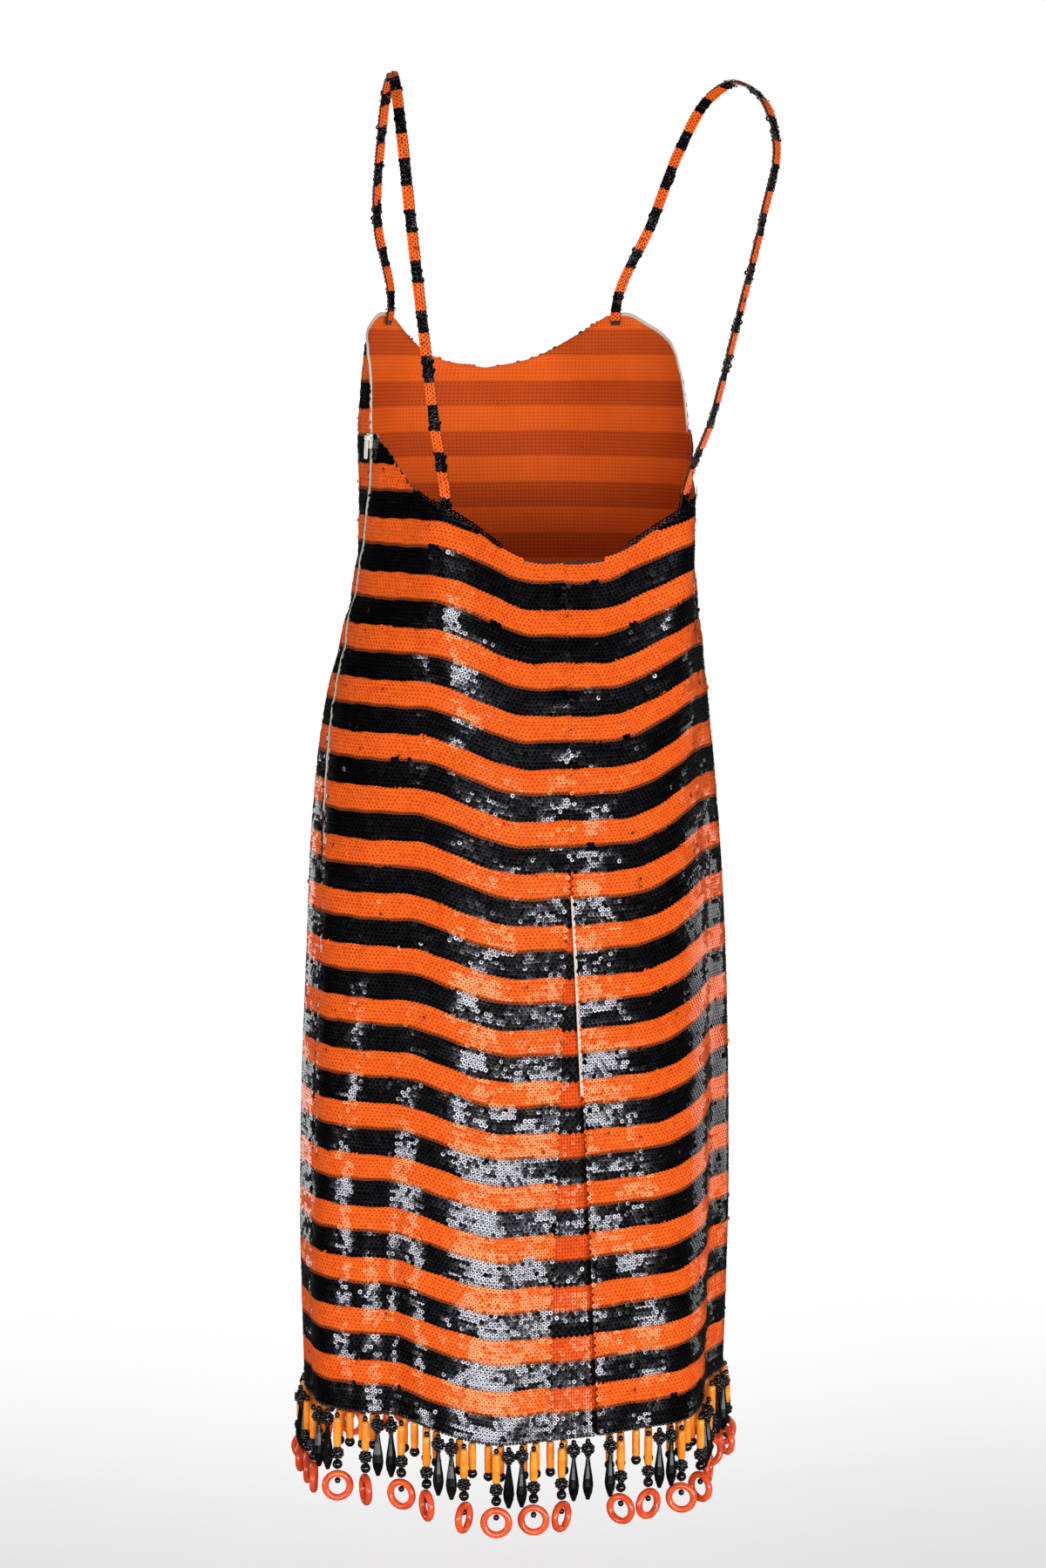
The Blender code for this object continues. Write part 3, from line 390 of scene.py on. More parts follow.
def cloth_face(angle, height):
    """Points on the outside of the dress: at each level |x / a|^n + |y / b|^n = 1, whose n is
    greater in the squarer back half, carried out or in by the folds, the darts and the creases,
    and let down by the sag."""
    angle, height = np.broadcast_arrays(np.asarray(angle, float), np.asarray(height, float))
    cos, sin = np.cos(np.radians(angle)), np.sin(np.radians(angle))
    half_width = blend(LEVELS, "half_width", height)
    to_back = blend(LEVELS, "to_back", height)
    depth = np.where(sin > 0, to_back, blend(LEVELS, "to_front", height))
    square = np.where(sin > 0, blend(LEVELS, "square", height), ROUND_FRONT)
    corner = (np.abs(cos) ** square + np.abs(sin) ** square) ** (-1 / square)
    out = fold_depth(angle, height) + bust_rise(angle, height) + crease_depth(angle, height)
    away = unit(np.stack([cos / half_width, sin / depth], axis=-1)) * out[..., None]
    x = half_width * cos * corner + away[..., 0]
    y = depth * sin * corner + away[..., 1] + blend(LEVELS, "back", height) - to_back
    return np.stack([x, y, HEM_LEVEL + height - sag(angle, height)], axis=-1)


def upward(angle, height):
    """The way up along the cloth, not of unit length."""
    return cloth_face(angle, height + NEAR_UP) - cloth_face(angle, height - NEAR_UP)


def outward(angle, height):
    """The unit normal of the outside, from its slopes round and up."""
    round_it = cloth_face(angle + NEAR_ROUND, height) - cloth_face(angle - NEAR_ROUND, height)
    return unit(np.cross(round_it, upward(angle, height)))


def set_in(angle, height, depth):
    """Points behind the outside, by a depth measured square to it."""
    angle, height = np.broadcast_arrays(np.asarray(angle, float), np.asarray(height, float))
    depth = np.broadcast_to(depth, angle.shape)
    return cloth_face(angle, height) - outward(angle, height) * depth[..., None]


def degrees_for(width, height):
    """The angle at a side seam or the centre back that a width across the cloth takes."""
    return np.degrees(width / blend(LEVELS, "to_back", height))


def side_seam(height):
    return blend(SIDE_SEAM, "angle", height)


def upper_edge(angle):
    """The height of the cut edge at any angle: the back's scoop, then the front's neckline."""
    left = CENTRE_BACK - from_centre_back(angle)
    back, front = blend(BACK_EDGE, "height", left), blend(FRONT_EDGE, "height", left)
    return np.where(left >= UNDERARM.angle, back, front)


def pleat_swing(height):
    """Degrees that a back panel's edge stands off the centre, below the pleat's top."""
    open_share = np.clip(1 - height / PLEAT_TOP, 0.0, 1.0)
    return PLEAT_SWING * open_share**PLEAT_CURVE + degrees_for(SEAM / 2, height) * PLEAT_SEAM


def zip_gap(height):
    """Degrees from the left seam to each cloth edge, wide enough for the zip above its foot."""
    share = ease(ZIP_FOOT, ZIP_FOOT + ZIP_OPENS, height)
    return degrees_for((SEAM + (ZIP_GAP - SEAM) * share) / 2, height)


PANELS = {                # the angles of each panel's two upright edges at any height
    "front": (lambda h: 180.0 - side_seam(h) + degrees_for(SEAM / 2, h),
              lambda h: 360.0 + side_seam(h) - zip_gap(h)),
    "back_left": (lambda h: side_seam(h) + zip_gap(h),
                  lambda h: CENTRE_BACK - pleat_swing(h)),
    "back_right": (lambda h: CENTRE_BACK + pleat_swing(h),
                   lambda h: 180.0 - side_seam(h) - degrees_for(SEAM / 2, h)),
}


def panel_places(name, columns, rows):
    """The angle and height of each point of a panel's grid: its columns share the width between
    the upright edges evenly, and its rows share the height up to the cut edge."""
    start, end = PANELS[name]
    across = np.linspace(0.0, 1.0, columns + 1)
    top = np.full((1, columns + 1), UNDERARM.height)
    for _ in range(SETTLES):      # the edges depend on the height, and the height on the angle
        top = upper_edge(start(top[:, :1]) + across * (end(top[:, -1:]) - start(top[:, :1])))
    height = np.linspace(0.0, 1.0, rows + 1)[:, None] * top
    return start(height[:, :1]) + across * (end(height[:, -1:]) - start(height[:, :1])), height


def new_mesh(name, points, faces):
    """A smooth mesh from an array of points and an array of faces with equally many corners."""
    mesh = bpy.data.meshes.new(name)
    mesh.vertices.add(len(points))
    mesh.vertices.foreach_set("co", np.asarray(points, np.float32).ravel())
    mesh.loops.add(faces.size)
    mesh.loops.foreach_set("vertex_index", faces.astype(np.int32).ravel())
    mesh.polygons.add(len(faces))
    mesh.polygons.foreach_set("loop_start", np.arange(0, faces.size, faces.shape[1]))
    mesh.update(calc_edges=True)
    mesh.shade_smooth()
    return mesh


def add_map(mesh, name, places):
    """A map for the finish: where each corner of each face lies on it."""
    layer = mesh.uv_layers.new(name=name)
    layer.uv.foreach_set("vector", places.astype(np.float32).ravel())


def new_piece(mesh, finishes, slot, *nodes):
    """A mesh's object, at the origin, that rides on the dress and stands for the named nodes."""
    piece = bpy.data.objects.new(mesh.name, mesh)
    bpy.context.scene.collection.objects.link(piece)
    for finish in finishes:
        mesh.materials.append(finish)
    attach(piece, "dress")
    if nodes:
        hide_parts(*nodes)
    return piece


def thin_shell(name, outside, inside, run=None):
    """A closed thin sheet: the grid of its outside, the same grid of its inside turned over, and
    a strip of quads round the rim. The inside takes the second finish. The run is the place of
    each point on the cloth's own map, in sequins across and rows up."""
    rows, columns = outside.shape[:2]
    at = np.arange(rows * columns).reshape(rows, columns)
    quads = np.stack([at[:-1, :-1], at[:-1, 1:], at[1:, 1:], at[1:, :-1]], -1).reshape(-1, 4)
    rim = np.concatenate([at[0], at[1:, -1], at[-1, -2::-1], at[-2::-1, 0]])
    under = at.size
    edge = np.stack([rim[1:], rim[:-1], rim[:-1] + under, rim[1:] + under], -1)
    faces = np.concatenate([quads, quads[:, ::-1] + under, edge])
    mesh = new_mesh(name, np.concatenate([outside.reshape(-1, 3), inside.reshape(-1, 3)]), faces)
    side = np.zeros(len(faces), np.int32)
    side[len(quads):2 * len(quads)] = 1
    mesh.polygons.foreach_set("material_index", side)
    if run is not None:
        add_map(mesh, "cloth_run", np.concatenate([run.reshape(-1, 2)] * 2)[faces.ravel()])
    return mesh


WAVE_AT_ONE = 0.314       # the wave texture's own wavelength, at a scale of 1


def woven_finish(name, dark, light, roughness, thread):
    """A plain weave: two crossed sets of waves a thread apart raise and tint the cloth, and a
    broad noise shades it."""
    finish, tone = new_finish(name)
    spot = tone.spot()
    weave = 0.0
    for direction in ("X", "Z"):
        weave = weave + tone.node("TexWave", {"bands_direction": direction}, {
            "Vector": spot, "Scale": WAVE_AT_ONE / thread, "Distortion": 0.6, "Detail": 1.0}, 1)
    cloud = spot.noise(38.0, 3.0)
    tone.surface({"Base Color": (weave * 0.35 + cloud * 0.3).mix(dark, light),
                  "Roughness": cloud * 0.15 + roughness,
                  "Normal": weave.bump(0.35, thread / 3), "Sheen Weight": 0.2})
    return finish


GROUND = woven_finish("ground_cloth", (0.018, 0.006, 0.003), (0.036, 0.011, 0.005), 0.8, 0.0006)
STRIPE, ROWS_A_STRIPE = 0.0222, 7
ROW = STRIPE / ROWS_A_STRIPE
SEQUIN_PITCH = 0.00374
MEAN_RADIUS = 0.15        # of the dress, for the cloth's map


def bare_side_finish(name):
    """The back of the cloth: a fine weave, darker where black sequins show through (a sine of the
    rows), with a line of dashed stitches under each row (the product of two sines)."""
    finish, tone = new_finish(name)
    run = tone.node("UVMap", {"uv_map": "cloth_run"}, {})
    across, rows = run.axis(0), run.axis(1)
    stripe = tone.maths("SINE", (rows + run.noise(0.9, 2.0) * 0.5) * (math.pi / ROWS_A_STRIPE))
    under_black = stripe.between(-0.18, 0.22)
    stitch = (tone.maths("SINE", rows * (2 * math.pi)).between(0.45, 1.0)
              * tone.maths("SINE", across * (2 * math.pi)).between(-0.4, 0.4))
    weave = (tone.maths("SINE", across * (12 * math.pi))
             + tone.maths("SINE", rows * (10 * math.pi))) * 0.25
    cloud = run.noise(0.16, 3.0)
    cloth = (cloud * 0.5 + weave * 0.4 + 0.25).mix((0.54, 0.066, 0.005), (0.84, 0.128, 0.009))
    cloth = (under_black * 0.40).mix(cloth, (0.26, 0.022, 0.002))
    thread = under_black.mix((0.90, 0.20, 0.03), (0.030, 0.016, 0.012))
    tone.surface({"Base Color": (stitch * 0.75).mix(cloth, thread),
                  "Roughness": cloud * 0.15 + 0.70, "Specular IOR Level": 0.15,
                  "Normal": (weave * 0.4 + stitch).bump(0.5, 0.0003)})
    return finish


BARE_GROUND = bare_side_finish("bare_ground_cloth")


def cloth_run(angle, height):
    """The map of a cloth: the length round it from its middle in sequins, and the rows up."""
    across = np.radians(angle - angle.mean()) * MEAN_RADIUS / SEQUIN_PITCH
    return np.stack(np.broadcast_arrays(across, height / ROW), -1)


def panel_cloth(name, columns, rows):
    """A panel's ground cloth, as a thin shell between two depths behind the sequins."""
    angle, height = panel_places(name, columns, rows)
    mesh = thin_shell("cloth_" + name, set_in(angle, height, CLOTH_OUTSIDE),
                      set_in(angle, height, CLOTH_INSIDE), cloth_run(angle, height))
    return new_piece(mesh, (GROUND, BARE_GROUND), "sequins", name)


cloth_front = panel_cloth("front", *FRONT_GRID)

# ---------------------------------------------------------------- the front's sequins
# Glossy ring sequins with a raised rim round a small hole, each sewn by a thread through it. They
# lie in rows like roof tiles, upper rows over lower ones, seven rows to a stripe. The orange
# ones are clear, so where they lap the black the stripe's edge is a darker orange.
SEQUIN_RADIUS, RADIUS_VARIES, SEQUIN_DOME = 0.00245, (0.95, 1.03), 0.00004
RING_PROFILE = ((0.30, 0.00010), (0.60, 0.00030), (0.86, 0.00020), (1.0, 0.0))
SEQUIN_IN = 0.0004        # how deep a sequin's middle lies in the row of them
EDGE_BARE, ZIP_BARE, TOP_BARE = 0.0002, 0.0014, 0.0008   # from the cloth's edges to the sequins
RIBBON_BARE, RIBBON_FROM = 0.0046, -39.0  # and from the bound edges, which begin at this angle
SEAM_SIDE, SEAM_LOOSE = 0.0045, 11.0      # near a seam more of them are loose, by this much
TILE_TILT, SIDE_TILT = 0.105, 0.035       # how far a sequin leans over the row and the one beside
TILT_VARIES, LIFTED_SHARE, LIFTED_TILT = 0.019, 0.012, 0.45
LOOSE_TILT = 0.15         # how much more a loose one's tilt varies
ROW_WAVERS = 0.00036      # how far the sewn rows waver, in two waves: phase a degree and a row
ROW_WAVES = ((11, 121), (31, 269))
STRAY_LEAN = 0.080        # patches that lean more than this have a black bottom row
Patch = namedtuple("Patch", "wide tall tilt")
PATCHES = (Patch(7.0, 0.0127, 0.033), Patch(3.0, ROW, 0.022))     # near neighbours lean alike
CELLS = 16                # the finish has this many cells each way, one for each look of sequin
LAPPED_FROM = 12          # cells from this row up are of orange sequins that lap the black
IN_CELL = 0.46            # a sequin's radius on the map, in cells
PANEL_STEPS = 361         # points that a row's length is measured by


def circle(count):
    """Points evenly round a circle of radius 1."""
    turn = np.linspace(0.0, 2 * np.pi, count, endpoint=False)
    return np.stack([np.cos(turn), np.sin(turn)], -1)


def ring_band(count, sides, closed=False):
    """Triangles between rings of corners that follow each other, two to a side, and between the
    last ring and the first where they close."""
    k = np.arange(sides)
    after = (k + 1) % sides
    low = np.arange(count if closed else count - 1)[:, None] * sides
    high = (low + sides) % (count * sides)
    return np.stack([low + k, low + after, high + after,
                     low + k, high + after, high + k], -1).reshape(-1, 3)


def sequin_form(profile, sides):
    """One sequin's corners, in radii across and up and metres out, and its triangles: rings of
    corners, each a share of the radius wide and raised, and a share of 0 closes the middle."""
    rings = [np.column_stack([share * circle(sides), np.full(sides, raised)])
             for share, raised in profile if share]
    faces = [ring_band(len(rings), sides)[:, ::-1]]
    if not profile[0][0]:
        k = np.arange(sides)
        rings.append([[0.0, 0.0, profile[0][1]]])
        faces.append(np.stack([0 * k + (len(rings) - 1) * sides, k, (k + 1) % sides], -1))
    return np.concatenate(rings), np.concatenate(faces)


FLAT_SEQUIN = sequin_form(((0.0, SEQUIN_DOME), (1.0, 0.0)), 8)
RING_SEQUIN = sequin_form(RING_PROFILE, 10)


def lay_sequins(name, form, centre, out, up, lean, loose, cell, finish, node, seed):
    """Sequins of one form at the given places: each corner is the middle plus its place across,
    up and out. Every one leans over the next by a fixed tilt, its own lean and a random one, and
    the loose ones hang more freely. Its corners lie alike in its cell of the map, so that the
    map gives the hole, the rim with its painted shade and a random tone."""
    chance = np.random.default_rng(seed)
    count = len(centre)
    across = np.cross(up, out)
    varies = TILT_VARIES * (1 + LOOSE_TILT * (np.broadcast_to(loose, (count,)) - 1))
    tilt = chance.normal(0.0, 1.0, (count, 2)) * varies[:, None] + (SIDE_TILT, TILE_TILT) + lean
    lifted = chance.random(count) < LIFTED_SHARE * loose
    tilt[lifted] += chance.normal(0.0, LIFTED_TILT, (lifted.sum(), 2))
    facing = unit(out + across * tilt[:, :1] + up * tilt[:, 1:])
    up = unit(up - facing * (up * facing).sum(1, keepdims=True))
    across = np.cross(up, facing)
    radius = SEQUIN_RADIUS * chance.uniform(*RADIUS_VARIES, (count, 1))
    turn = chance.uniform(0.0, 2 * np.pi, (count, 1))
    corners, triangles = form
    x = corners[:, 0] * np.cos(turn) - corners[:, 1] * np.sin(turn)
    y = corners[:, 0] * np.sin(turn) + corners[:, 1] * np.cos(turn)
    points = (centre[:, None] + across[:, None] * (x * radius)[..., None]
              + up[:, None] * (y * radius)[..., None] + facing[:, None] * corners[:, 2:])
    faces = (np.arange(count)[:, None, None] * len(corners) + triangles).reshape(-1, 3)
    mesh = new_mesh(name, points.reshape(-1, 3), faces)
    on_map = ((cell[:, None] + 0.5 + np.stack([x, y], -1) * IN_CELL) / CELLS).reshape(-1, 2)
    for layer in ("sequin_cells", "OFBake"):
        add_map(mesh, layer, on_map[faces.ravel()])
    mesh.uv_layers.active = mesh.uv_layers["sequin_cells"]
    return new_piece(mesh, (finish,), "sequins", node)


def sequin_finish(name, dark, light, lapped, rim, hole, shine, metallic=0.0):
    """A dyed glossy plastic, or one that only mirrors. The place in the cell gives the hole and
    the rim, whose darker colour is painted shade of the gaps where sequins lap; the cell's number
    gives a random tone, and in the upper cells the lower half of a sequin takes the lapped colour."""
    finish, tone = new_finish(name)
    cells = tone.node("UVMap", {"uv_map": "sequin_cells"}, {})
    grid = cells.vector("SCALE", {"Scale": float(CELLS)})
    number = grid.vector("FLOOR", {})
    off = grid.vector("FRACTION", {}).vector("SUBTRACT", {1: (0.5, 0.5, 0.0)})
    reach = off.vector("LENGTH", {}, 1) * (1 / IN_CELL)
    shade = tone.node("TexWhiteNoise", {"noise_dimensions": "2D"}, {"Vector": number}, 0)
    laps = number.axis(1).between(LAPPED_FROM - 0.6, LAPPED_FROM - 0.4)
    low = 1 - off.axis(1).between(-0.26, 0.36)
    colour = (low * laps).mix(shade.mix(dark, light), lapped)
    # towards its edge each sequin takes the rim colour: painted shade of the gaps where sequins
    # lap
    colour = (reach.between(0.74, 0.90) * 0.90).mix(colour, rim)
    pierced = 1 - reach.between(0.27, 0.35)
    tone.surface({
        "Base Color": pierced.mix(colour, hole),
        "Roughness": shade * 0.05 + pierced * 0.75 + reach.between(0.72, 0.90) * 0.60 + 0.09,
        "IOR": 1.55, "Specular Tint": shine, "Metallic": metallic})
    return finish


ORANGE_SHINE = (1.0, 0.64, 0.38)
# the rim colours, darker than the faces, are painted shade of the gaps between lapping sequins
BLACK_RIM_SHADE, BLACK_HOLE = (0.0030, 0.0026, 0.0030), (0.0012, 0.0010, 0.0010)
ORANGE_SEQUIN = sequin_finish(
    "orange_sequin", (0.77, 0.084, 0.005), (0.90, 0.134, 0.009), (0.045, 0.016, 0.003),
    (0.56, 0.056, 0.004), (0.20, 0.020, 0.003), ORANGE_SHINE)
SHADED_ORANGE_SEQUIN = sequin_finish(     # darker and redder than the orange: painted shade of the recess behind the pleat
    "folded_orange_sequin", (0.70, 0.058, 0.003), (0.84, 0.092, 0.005), (0.030, 0.011, 0.002),
    (0.50, 0.044, 0.003), (0.18, 0.017, 0.002), ORANGE_SHINE)
BLACK_SEQUIN = sequin_finish(
    "black_sequin", (0.056, 0.056, 0.062), (0.090, 0.090, 0.100), (0.050, 0.050, 0.056),
    BLACK_RIM_SHADE, BLACK_HOLE, WHITE, 1.0)
LOOSE_BLACK_SEQUIN = sequin_finish(       # where they hang loose they have lost some of the shine
    "loose_black_sequin", (0.014, 0.014, 0.016), (0.034, 0.034, 0.038), (0.014, 0.014, 0.016),
    BLACK_RIM_SHADE, BLACK_HOLE, WHITE, 1.0)


def patch_lean(angle, height, seed):
    """How the sequins near each other lean alike: for each size of patch, one random lean for
    each cell of a grid of angles and heights, whose levels are shifted at random."""
    chance = np.random.default_rng(seed)
    lean = 0.0
    for patch in PATCHES:
        level = np.floor(height / patch.tall).astype(int)
        start = chance.uniform(0.0, 1.0, level.max() + 1)[level]
        across = np.floor((angle + 180.0) / patch.wide + start).astype(int)
        leans = chance.normal(0.0, patch.tilt, (level.max() + 1, across.max() + 1, 2))
        lean = lean + leans[level, across]
    return lean


def sequin_places(name):
    """Where a panel's sequins are sewn: rows a fixed height apart, each shared evenly by length
    of cloth, and every other row half a pitch along. The last array is how loose each is."""
    start, end = PANELS[name]
    found = []
    for row in range(int(max(edge.height for edge in FRONT_EDGE) / ROW) + 1):
        height = (row + 0.5) * ROW
        angle = np.linspace(float(start(height)), float(end(height)), PANEL_STEPS)
        along = length_along(cloth_face(angle, height))
        zipped = {"back_left": 0, "front": 1}.get(name) if height > ZIP_FOOT else None
        bare = [ZIP_BARE if edge == zipped else EDGE_BARE for edge in (0, 1)]
        width = along[-1] - sum(bare)
        count = int(width / SEQUIN_PITCH)
        step = (np.arange(count) + (0.25 if row % 2 else 0.75)) / count
        at = np.interp(bare[0] + step * width, along, angle)
        bound = (CENTRE_BACK - from_centre_back(at) > RIBBON_FROM) & (name == "front")
        sewn = height < upper_edge(at) - np.where(bound, RIBBON_BARE, TOP_BARE)
        near = np.minimum(step, 1 - step) * width < SEAM_SIDE
        waver = sum(np.sin(np.radians(a_degree * at + a_row * row))
                    for a_degree, a_row in ROW_WAVES)
        found.append(np.stack([at, height + ROW_WAVERS * waver, 0 * at + row,
                               np.where(near, SEAM_LOOSE, 1.0)])[:, sewn])
    angle, height, row, loose = np.concatenate(found, axis=1)
    return angle, height, row.astype(int), loose


def sequin_cells(rows, seed):
    """A random cell for each sequin: one of the upper ones in the lowest row of a stripe."""
    chance = np.random.default_rng(seed)
    lapping = rows % ROWS_A_STRIPE == 0
    column = chance.integers(0, CELLS, len(rows))
    level = np.where(lapping, chance.integers(LAPPED_FROM, CELLS, len(rows)),
                     chance.integers(0, LAPPED_FROM, len(rows)))
    return np.stack([column, level], -1)


def sew_panel(name, angle, height, row, loose, depth, drop, node, seed,
              orange_finish=ORANGE_SEQUIN, turned=(0.0, 0.0)):
    """A panel's sequins, as one piece for each colour. They lie behind the outside by a depth and
    below their rows by a drop, and turned is how the cloth itself leans."""
    out, up = outward(angle, height), unit(upward(angle, height))
    centre = cloth_face(angle, height) - out * depth
    centre[:, 2] -= drop
    cell, lean = sequin_cells(row, seed), patch_lean(angle, height, seed)
    stray = (row % ROWS_A_STRIPE == 0) & (lean[:, 0] > STRAY_LEAN)
    orange = (row // ROWS_A_STRIPE % 2 == 1) & ~stray
    return [
        lay_sequins("sequins_%s_%s" % (name, colour), FLAT_SEQUIN, centre[these], out[these],
                    up[these], lean[these] + turned, loose[these], cell[these], finish, node,
                    seed + 1)
        for colour, finish, these in (
            ("orange", orange_finish, orange), ("black", BLACK_SEQUIN, ~orange))
    ]


front_sequins = sew_panel("front", *sequin_places("front"), SEQUIN_IN, 0.0, "front", 10)

# ---------------------------------------------------------------- the backs
# Two panels like the front, cut low across the shoulder blades and sewn to each other down the
# centre back as far as the kick pleat, where each is turned under along its free edge.
BACK_FLAT, BACK_CUT, BACK_GRID = (0.257, 0.833), 0.180, (60, 110)
SEAM_JOG = 0.0008         # how much lower the right one's rows meet the left one's

backs = [(name, panel_cloth(name, *BACK_GRID)) for name in ("back_left", "back_right")]
for (name, cloth), jog, seed in zip(backs, (0.0, SEAM_JOG), (20, 30), strict=True):
    sewn = sew_panel(name, *sequin_places(name), SEQUIN_IN, jog, name, seed)

# ---------------------------------------------------------------- the pleat's underlay
# The backing piece of the kick pleat, cut from the same cloth. It hangs behind the opening from
# the centre back seam and shows as a narrow wedge between the two backs.
UNDERLAY_TOP = 0.515
UNDERLAY_SPREAD_TOP, UNDERLAY_SPREAD_HEM = 10.0, 16.0     # degrees each side of the centre
UNDERLAY_SPREAD = 13.0    # and as its map takes it
UNDERLAY_IN_TOP, UNDERLAY_IN_HEM = 0.0026, 0.0060         # how far its face is set in
UNDERLAY_DROP = 0.002     # its hem hangs this much lower
UNDERLAY_FLAT, UNDERLAY_CUT, UNDERLAY_GRID = (0.104, 0.508), 0.0426, (24, 80)
UNDERLAY_SHOWS = 1.15     # its sequins fill this many times the opening
UNDERLAY_MORE = 0.4       # and these degrees more,
UNDERLAY_STEPS = 12       # with at most this many pitches each side,
UNDERLAY_ROWS_LOWER = 0.0035      # and hang this much lower than the backs' rows
UNDERLAY_TURNED = (0.00, 0.10)    # how its sequins lean beside those of the backs


def underlay_in(up):
    """How deep the underlay lies behind the backs: evenly more from its top, 1, to its hem, 0."""
    return UNDERLAY_IN_HEM + (UNDERLAY_IN_TOP - UNDERLAY_IN_HEM) * up


def underlay_face(across, up, depth):
    """Points on the underlay: across from -1 to 1 spreads by degrees round the centre back."""
    spread = UNDERLAY_SPREAD_HEM + (UNDERLAY_SPREAD_TOP - UNDERLAY_SPREAD_HEM) * up
    points = set_in(CENTRE_BACK + spread * across, up * UNDERLAY_TOP, underlay_in(up) + depth)
    points[..., 2] -= UNDERLAY_DROP * (1 - up)
    return points


across = np.linspace(-1.0, 1.0, UNDERLAY_GRID[0] + 1)
up = np.linspace(0.0, 1.0, UNDERLAY_GRID[1] + 1)[:, None]
cloth_underlay = new_piece(
    thin_shell("cloth_underlay", underlay_face(across, up, CLOTH_OUTSIDE),
               underlay_face(across, up, CLOTH_INSIDE),
               cloth_run(CENTRE_BACK + UNDERLAY_SPREAD * across, up * UNDERLAY_TOP)),
    (GROUND, BARE_GROUND), "sequins", "pleat_underlay")
row = np.arange(int(PLEAT_TOP / ROW))[:, None]
level = (row + 0.5) * ROW
half_open = (np.radians(UNDERLAY_SHOWS * pleat_swing(level) + UNDERLAY_MORE)
             * blend(LEVELS, "to_back", level))
steps = np.arange(-UNDERLAY_STEPS, UNDERLAY_STEPS + 1) + 0.5 * (row % 2)
shown = np.abs(steps) * SEQUIN_PITCH < half_open + SEQUIN_PITCH / 2
angle = (CENTRE_BACK + degrees_for(SEQUIN_PITCH, level) * steps)[shown]
height, row = (np.broadcast_to(each, shown.shape)[shown] for each in (level, row))
# The underlay's orange sequins take a darker, redder finish: painted shade of the recess behind
# the backs.
underlay_sequins = sew_panel("underlay", angle, height, row, 1.0 + 0 * height,
                             underlay_in(height / UNDERLAY_TOP)[:, None] + SEQUIN_IN,
                             UNDERLAY_ROWS_LOWER, "pleat_underlay", 40, SHADED_ORANGE_SEQUIN,
                             UNDERLAY_TURNED)

# ---------------------------------------------------------------- the straps
# Narrow straps of the same cloth, two sequins abreast, sewn inside the upper edges of the back
# and the front. They run close to the wearer's shoulder blades and over the shoulders.
STRAP_WIDTH, STRAP_THICK, STRAP_CROWN, STRAP_GRID = 0.0085, 0.0010, 0.0004, (6, 149)
BACK_JOINT, FRONT_JOINT = 52.0, -39.0     # the angles where it is sewn to the edges
JOINT_RADIUS = 0.125      # of the dress there
STRAP_OVER, STRAP_LAP = 0.001, 0.009      # its sewn ends reach this far over and below the edge
STRAP_BEHIND, STRAP_SOLID = 0.0037, 0.0028    # behind the cloth's face, and whole thickness
STRAP_SEQUIN_OUT = 0.0013     # from the strap's middle to its sequins
STRAP_OVERHANG = 0.0007   # its two sequins together are wider than it by this
STRAP_STRIPE = 0.020      # its stripes are as wide as this
STRAP_ROW, STRAP_FIRST = 0.0037, 0.7      # pitch of its rows of two, and the first one in rows
STRAP_LOOSE = {"black": 30.0, "orange": 6.0}  # how much looser they are than the backs' sequins
STRAP_STRAYS = 0.0005     # and how far the black ones stray sideways
Station = namedtuple("Station", "x y z around up")
STRAP = [Station(*row) for row in (   # the left one's middle line, and the way its face looks
    (0.1215, 0.0255, -0.2750, 38.0, 3.0),
    (0.1350, 0.0398, -0.2047, 38.0, 5.0),
    (0.1520, 0.0575, -0.1100, 36.0, 9.0),
    (0.1600, 0.0640, -0.0560, 34.0, 20.0),
    (0.1580, 0.0440, -0.0190, 36.0, 48.0),
    (0.1490, 0.0050, -0.0014, 70.0, 68.0),
    (0.1410, -0.0350, -0.0130, 135.0, 55.0),
    (0.1330, -0.0760, -0.0520, 146.0, 32.0),
    (0.1240, -0.1150, -0.1110, 148.0, 20.0))]
Knot = namedtuple("Knot", "along a b c d e f")    # where a curve passes: both edges' x, y and z


def strap_end(angle):
    """The sewn end of a strap, two rows of two points behind the cloth, upper row first."""
    edge = upper_edge(angle)
    half = np.degrees(STRAP_WIDTH / 2 / JOINT_RADIUS)
    heights = np.array([[edge + STRAP_OVER], [edge - STRAP_LAP]])
    return set_in(angle + half * np.array([[-1.0, 1.0]]), heights, STRAP_BEHIND + STRAP_SOLID / 2)


def strap_frame(steps):
    """The left strap's middle line, and the ways across it, along it and out of its face. Its
    edges lie half the width from the stations, square to the run and the face, and are smooth
    curves through them and the sewn ends."""
    line = np.array([station[:3] for station in STRAP])
    around, up = np.radians(np.array([station[3:] for station in STRAP]).T)
    face = np.stack([np.sin(around) * np.cos(up), np.cos(around) * np.cos(up), np.sin(up)], -1)
    half = unit(np.cross(unit(np.gradient(line, axis=0)), face)) * STRAP_WIDTH / 2
    rows = np.concatenate([strap_end(BACK_JOINT)[::-1], np.stack([line - half, line + half], 1),
                           strap_end(FRONT_JOINT)[:, ::-1]])
    along = length_along(rows.mean(axis=1))
    knots = [Knot(at, *row.ravel()) for at, row in zip(along, rows, strict=True)]
    at = np.linspace(0.0, along[-1], steps)
    edges = np.stack([blend(knots, axis, at) for axis in "abcdef"], -1).reshape(-1, 2, 3)
    middle = edges.mean(axis=1)
    across, run = unit(edges[:, 1] - edges[:, 0]), unit(np.gradient(middle, axis=0))
    return middle, across, run, unit(np.cross(across, run))


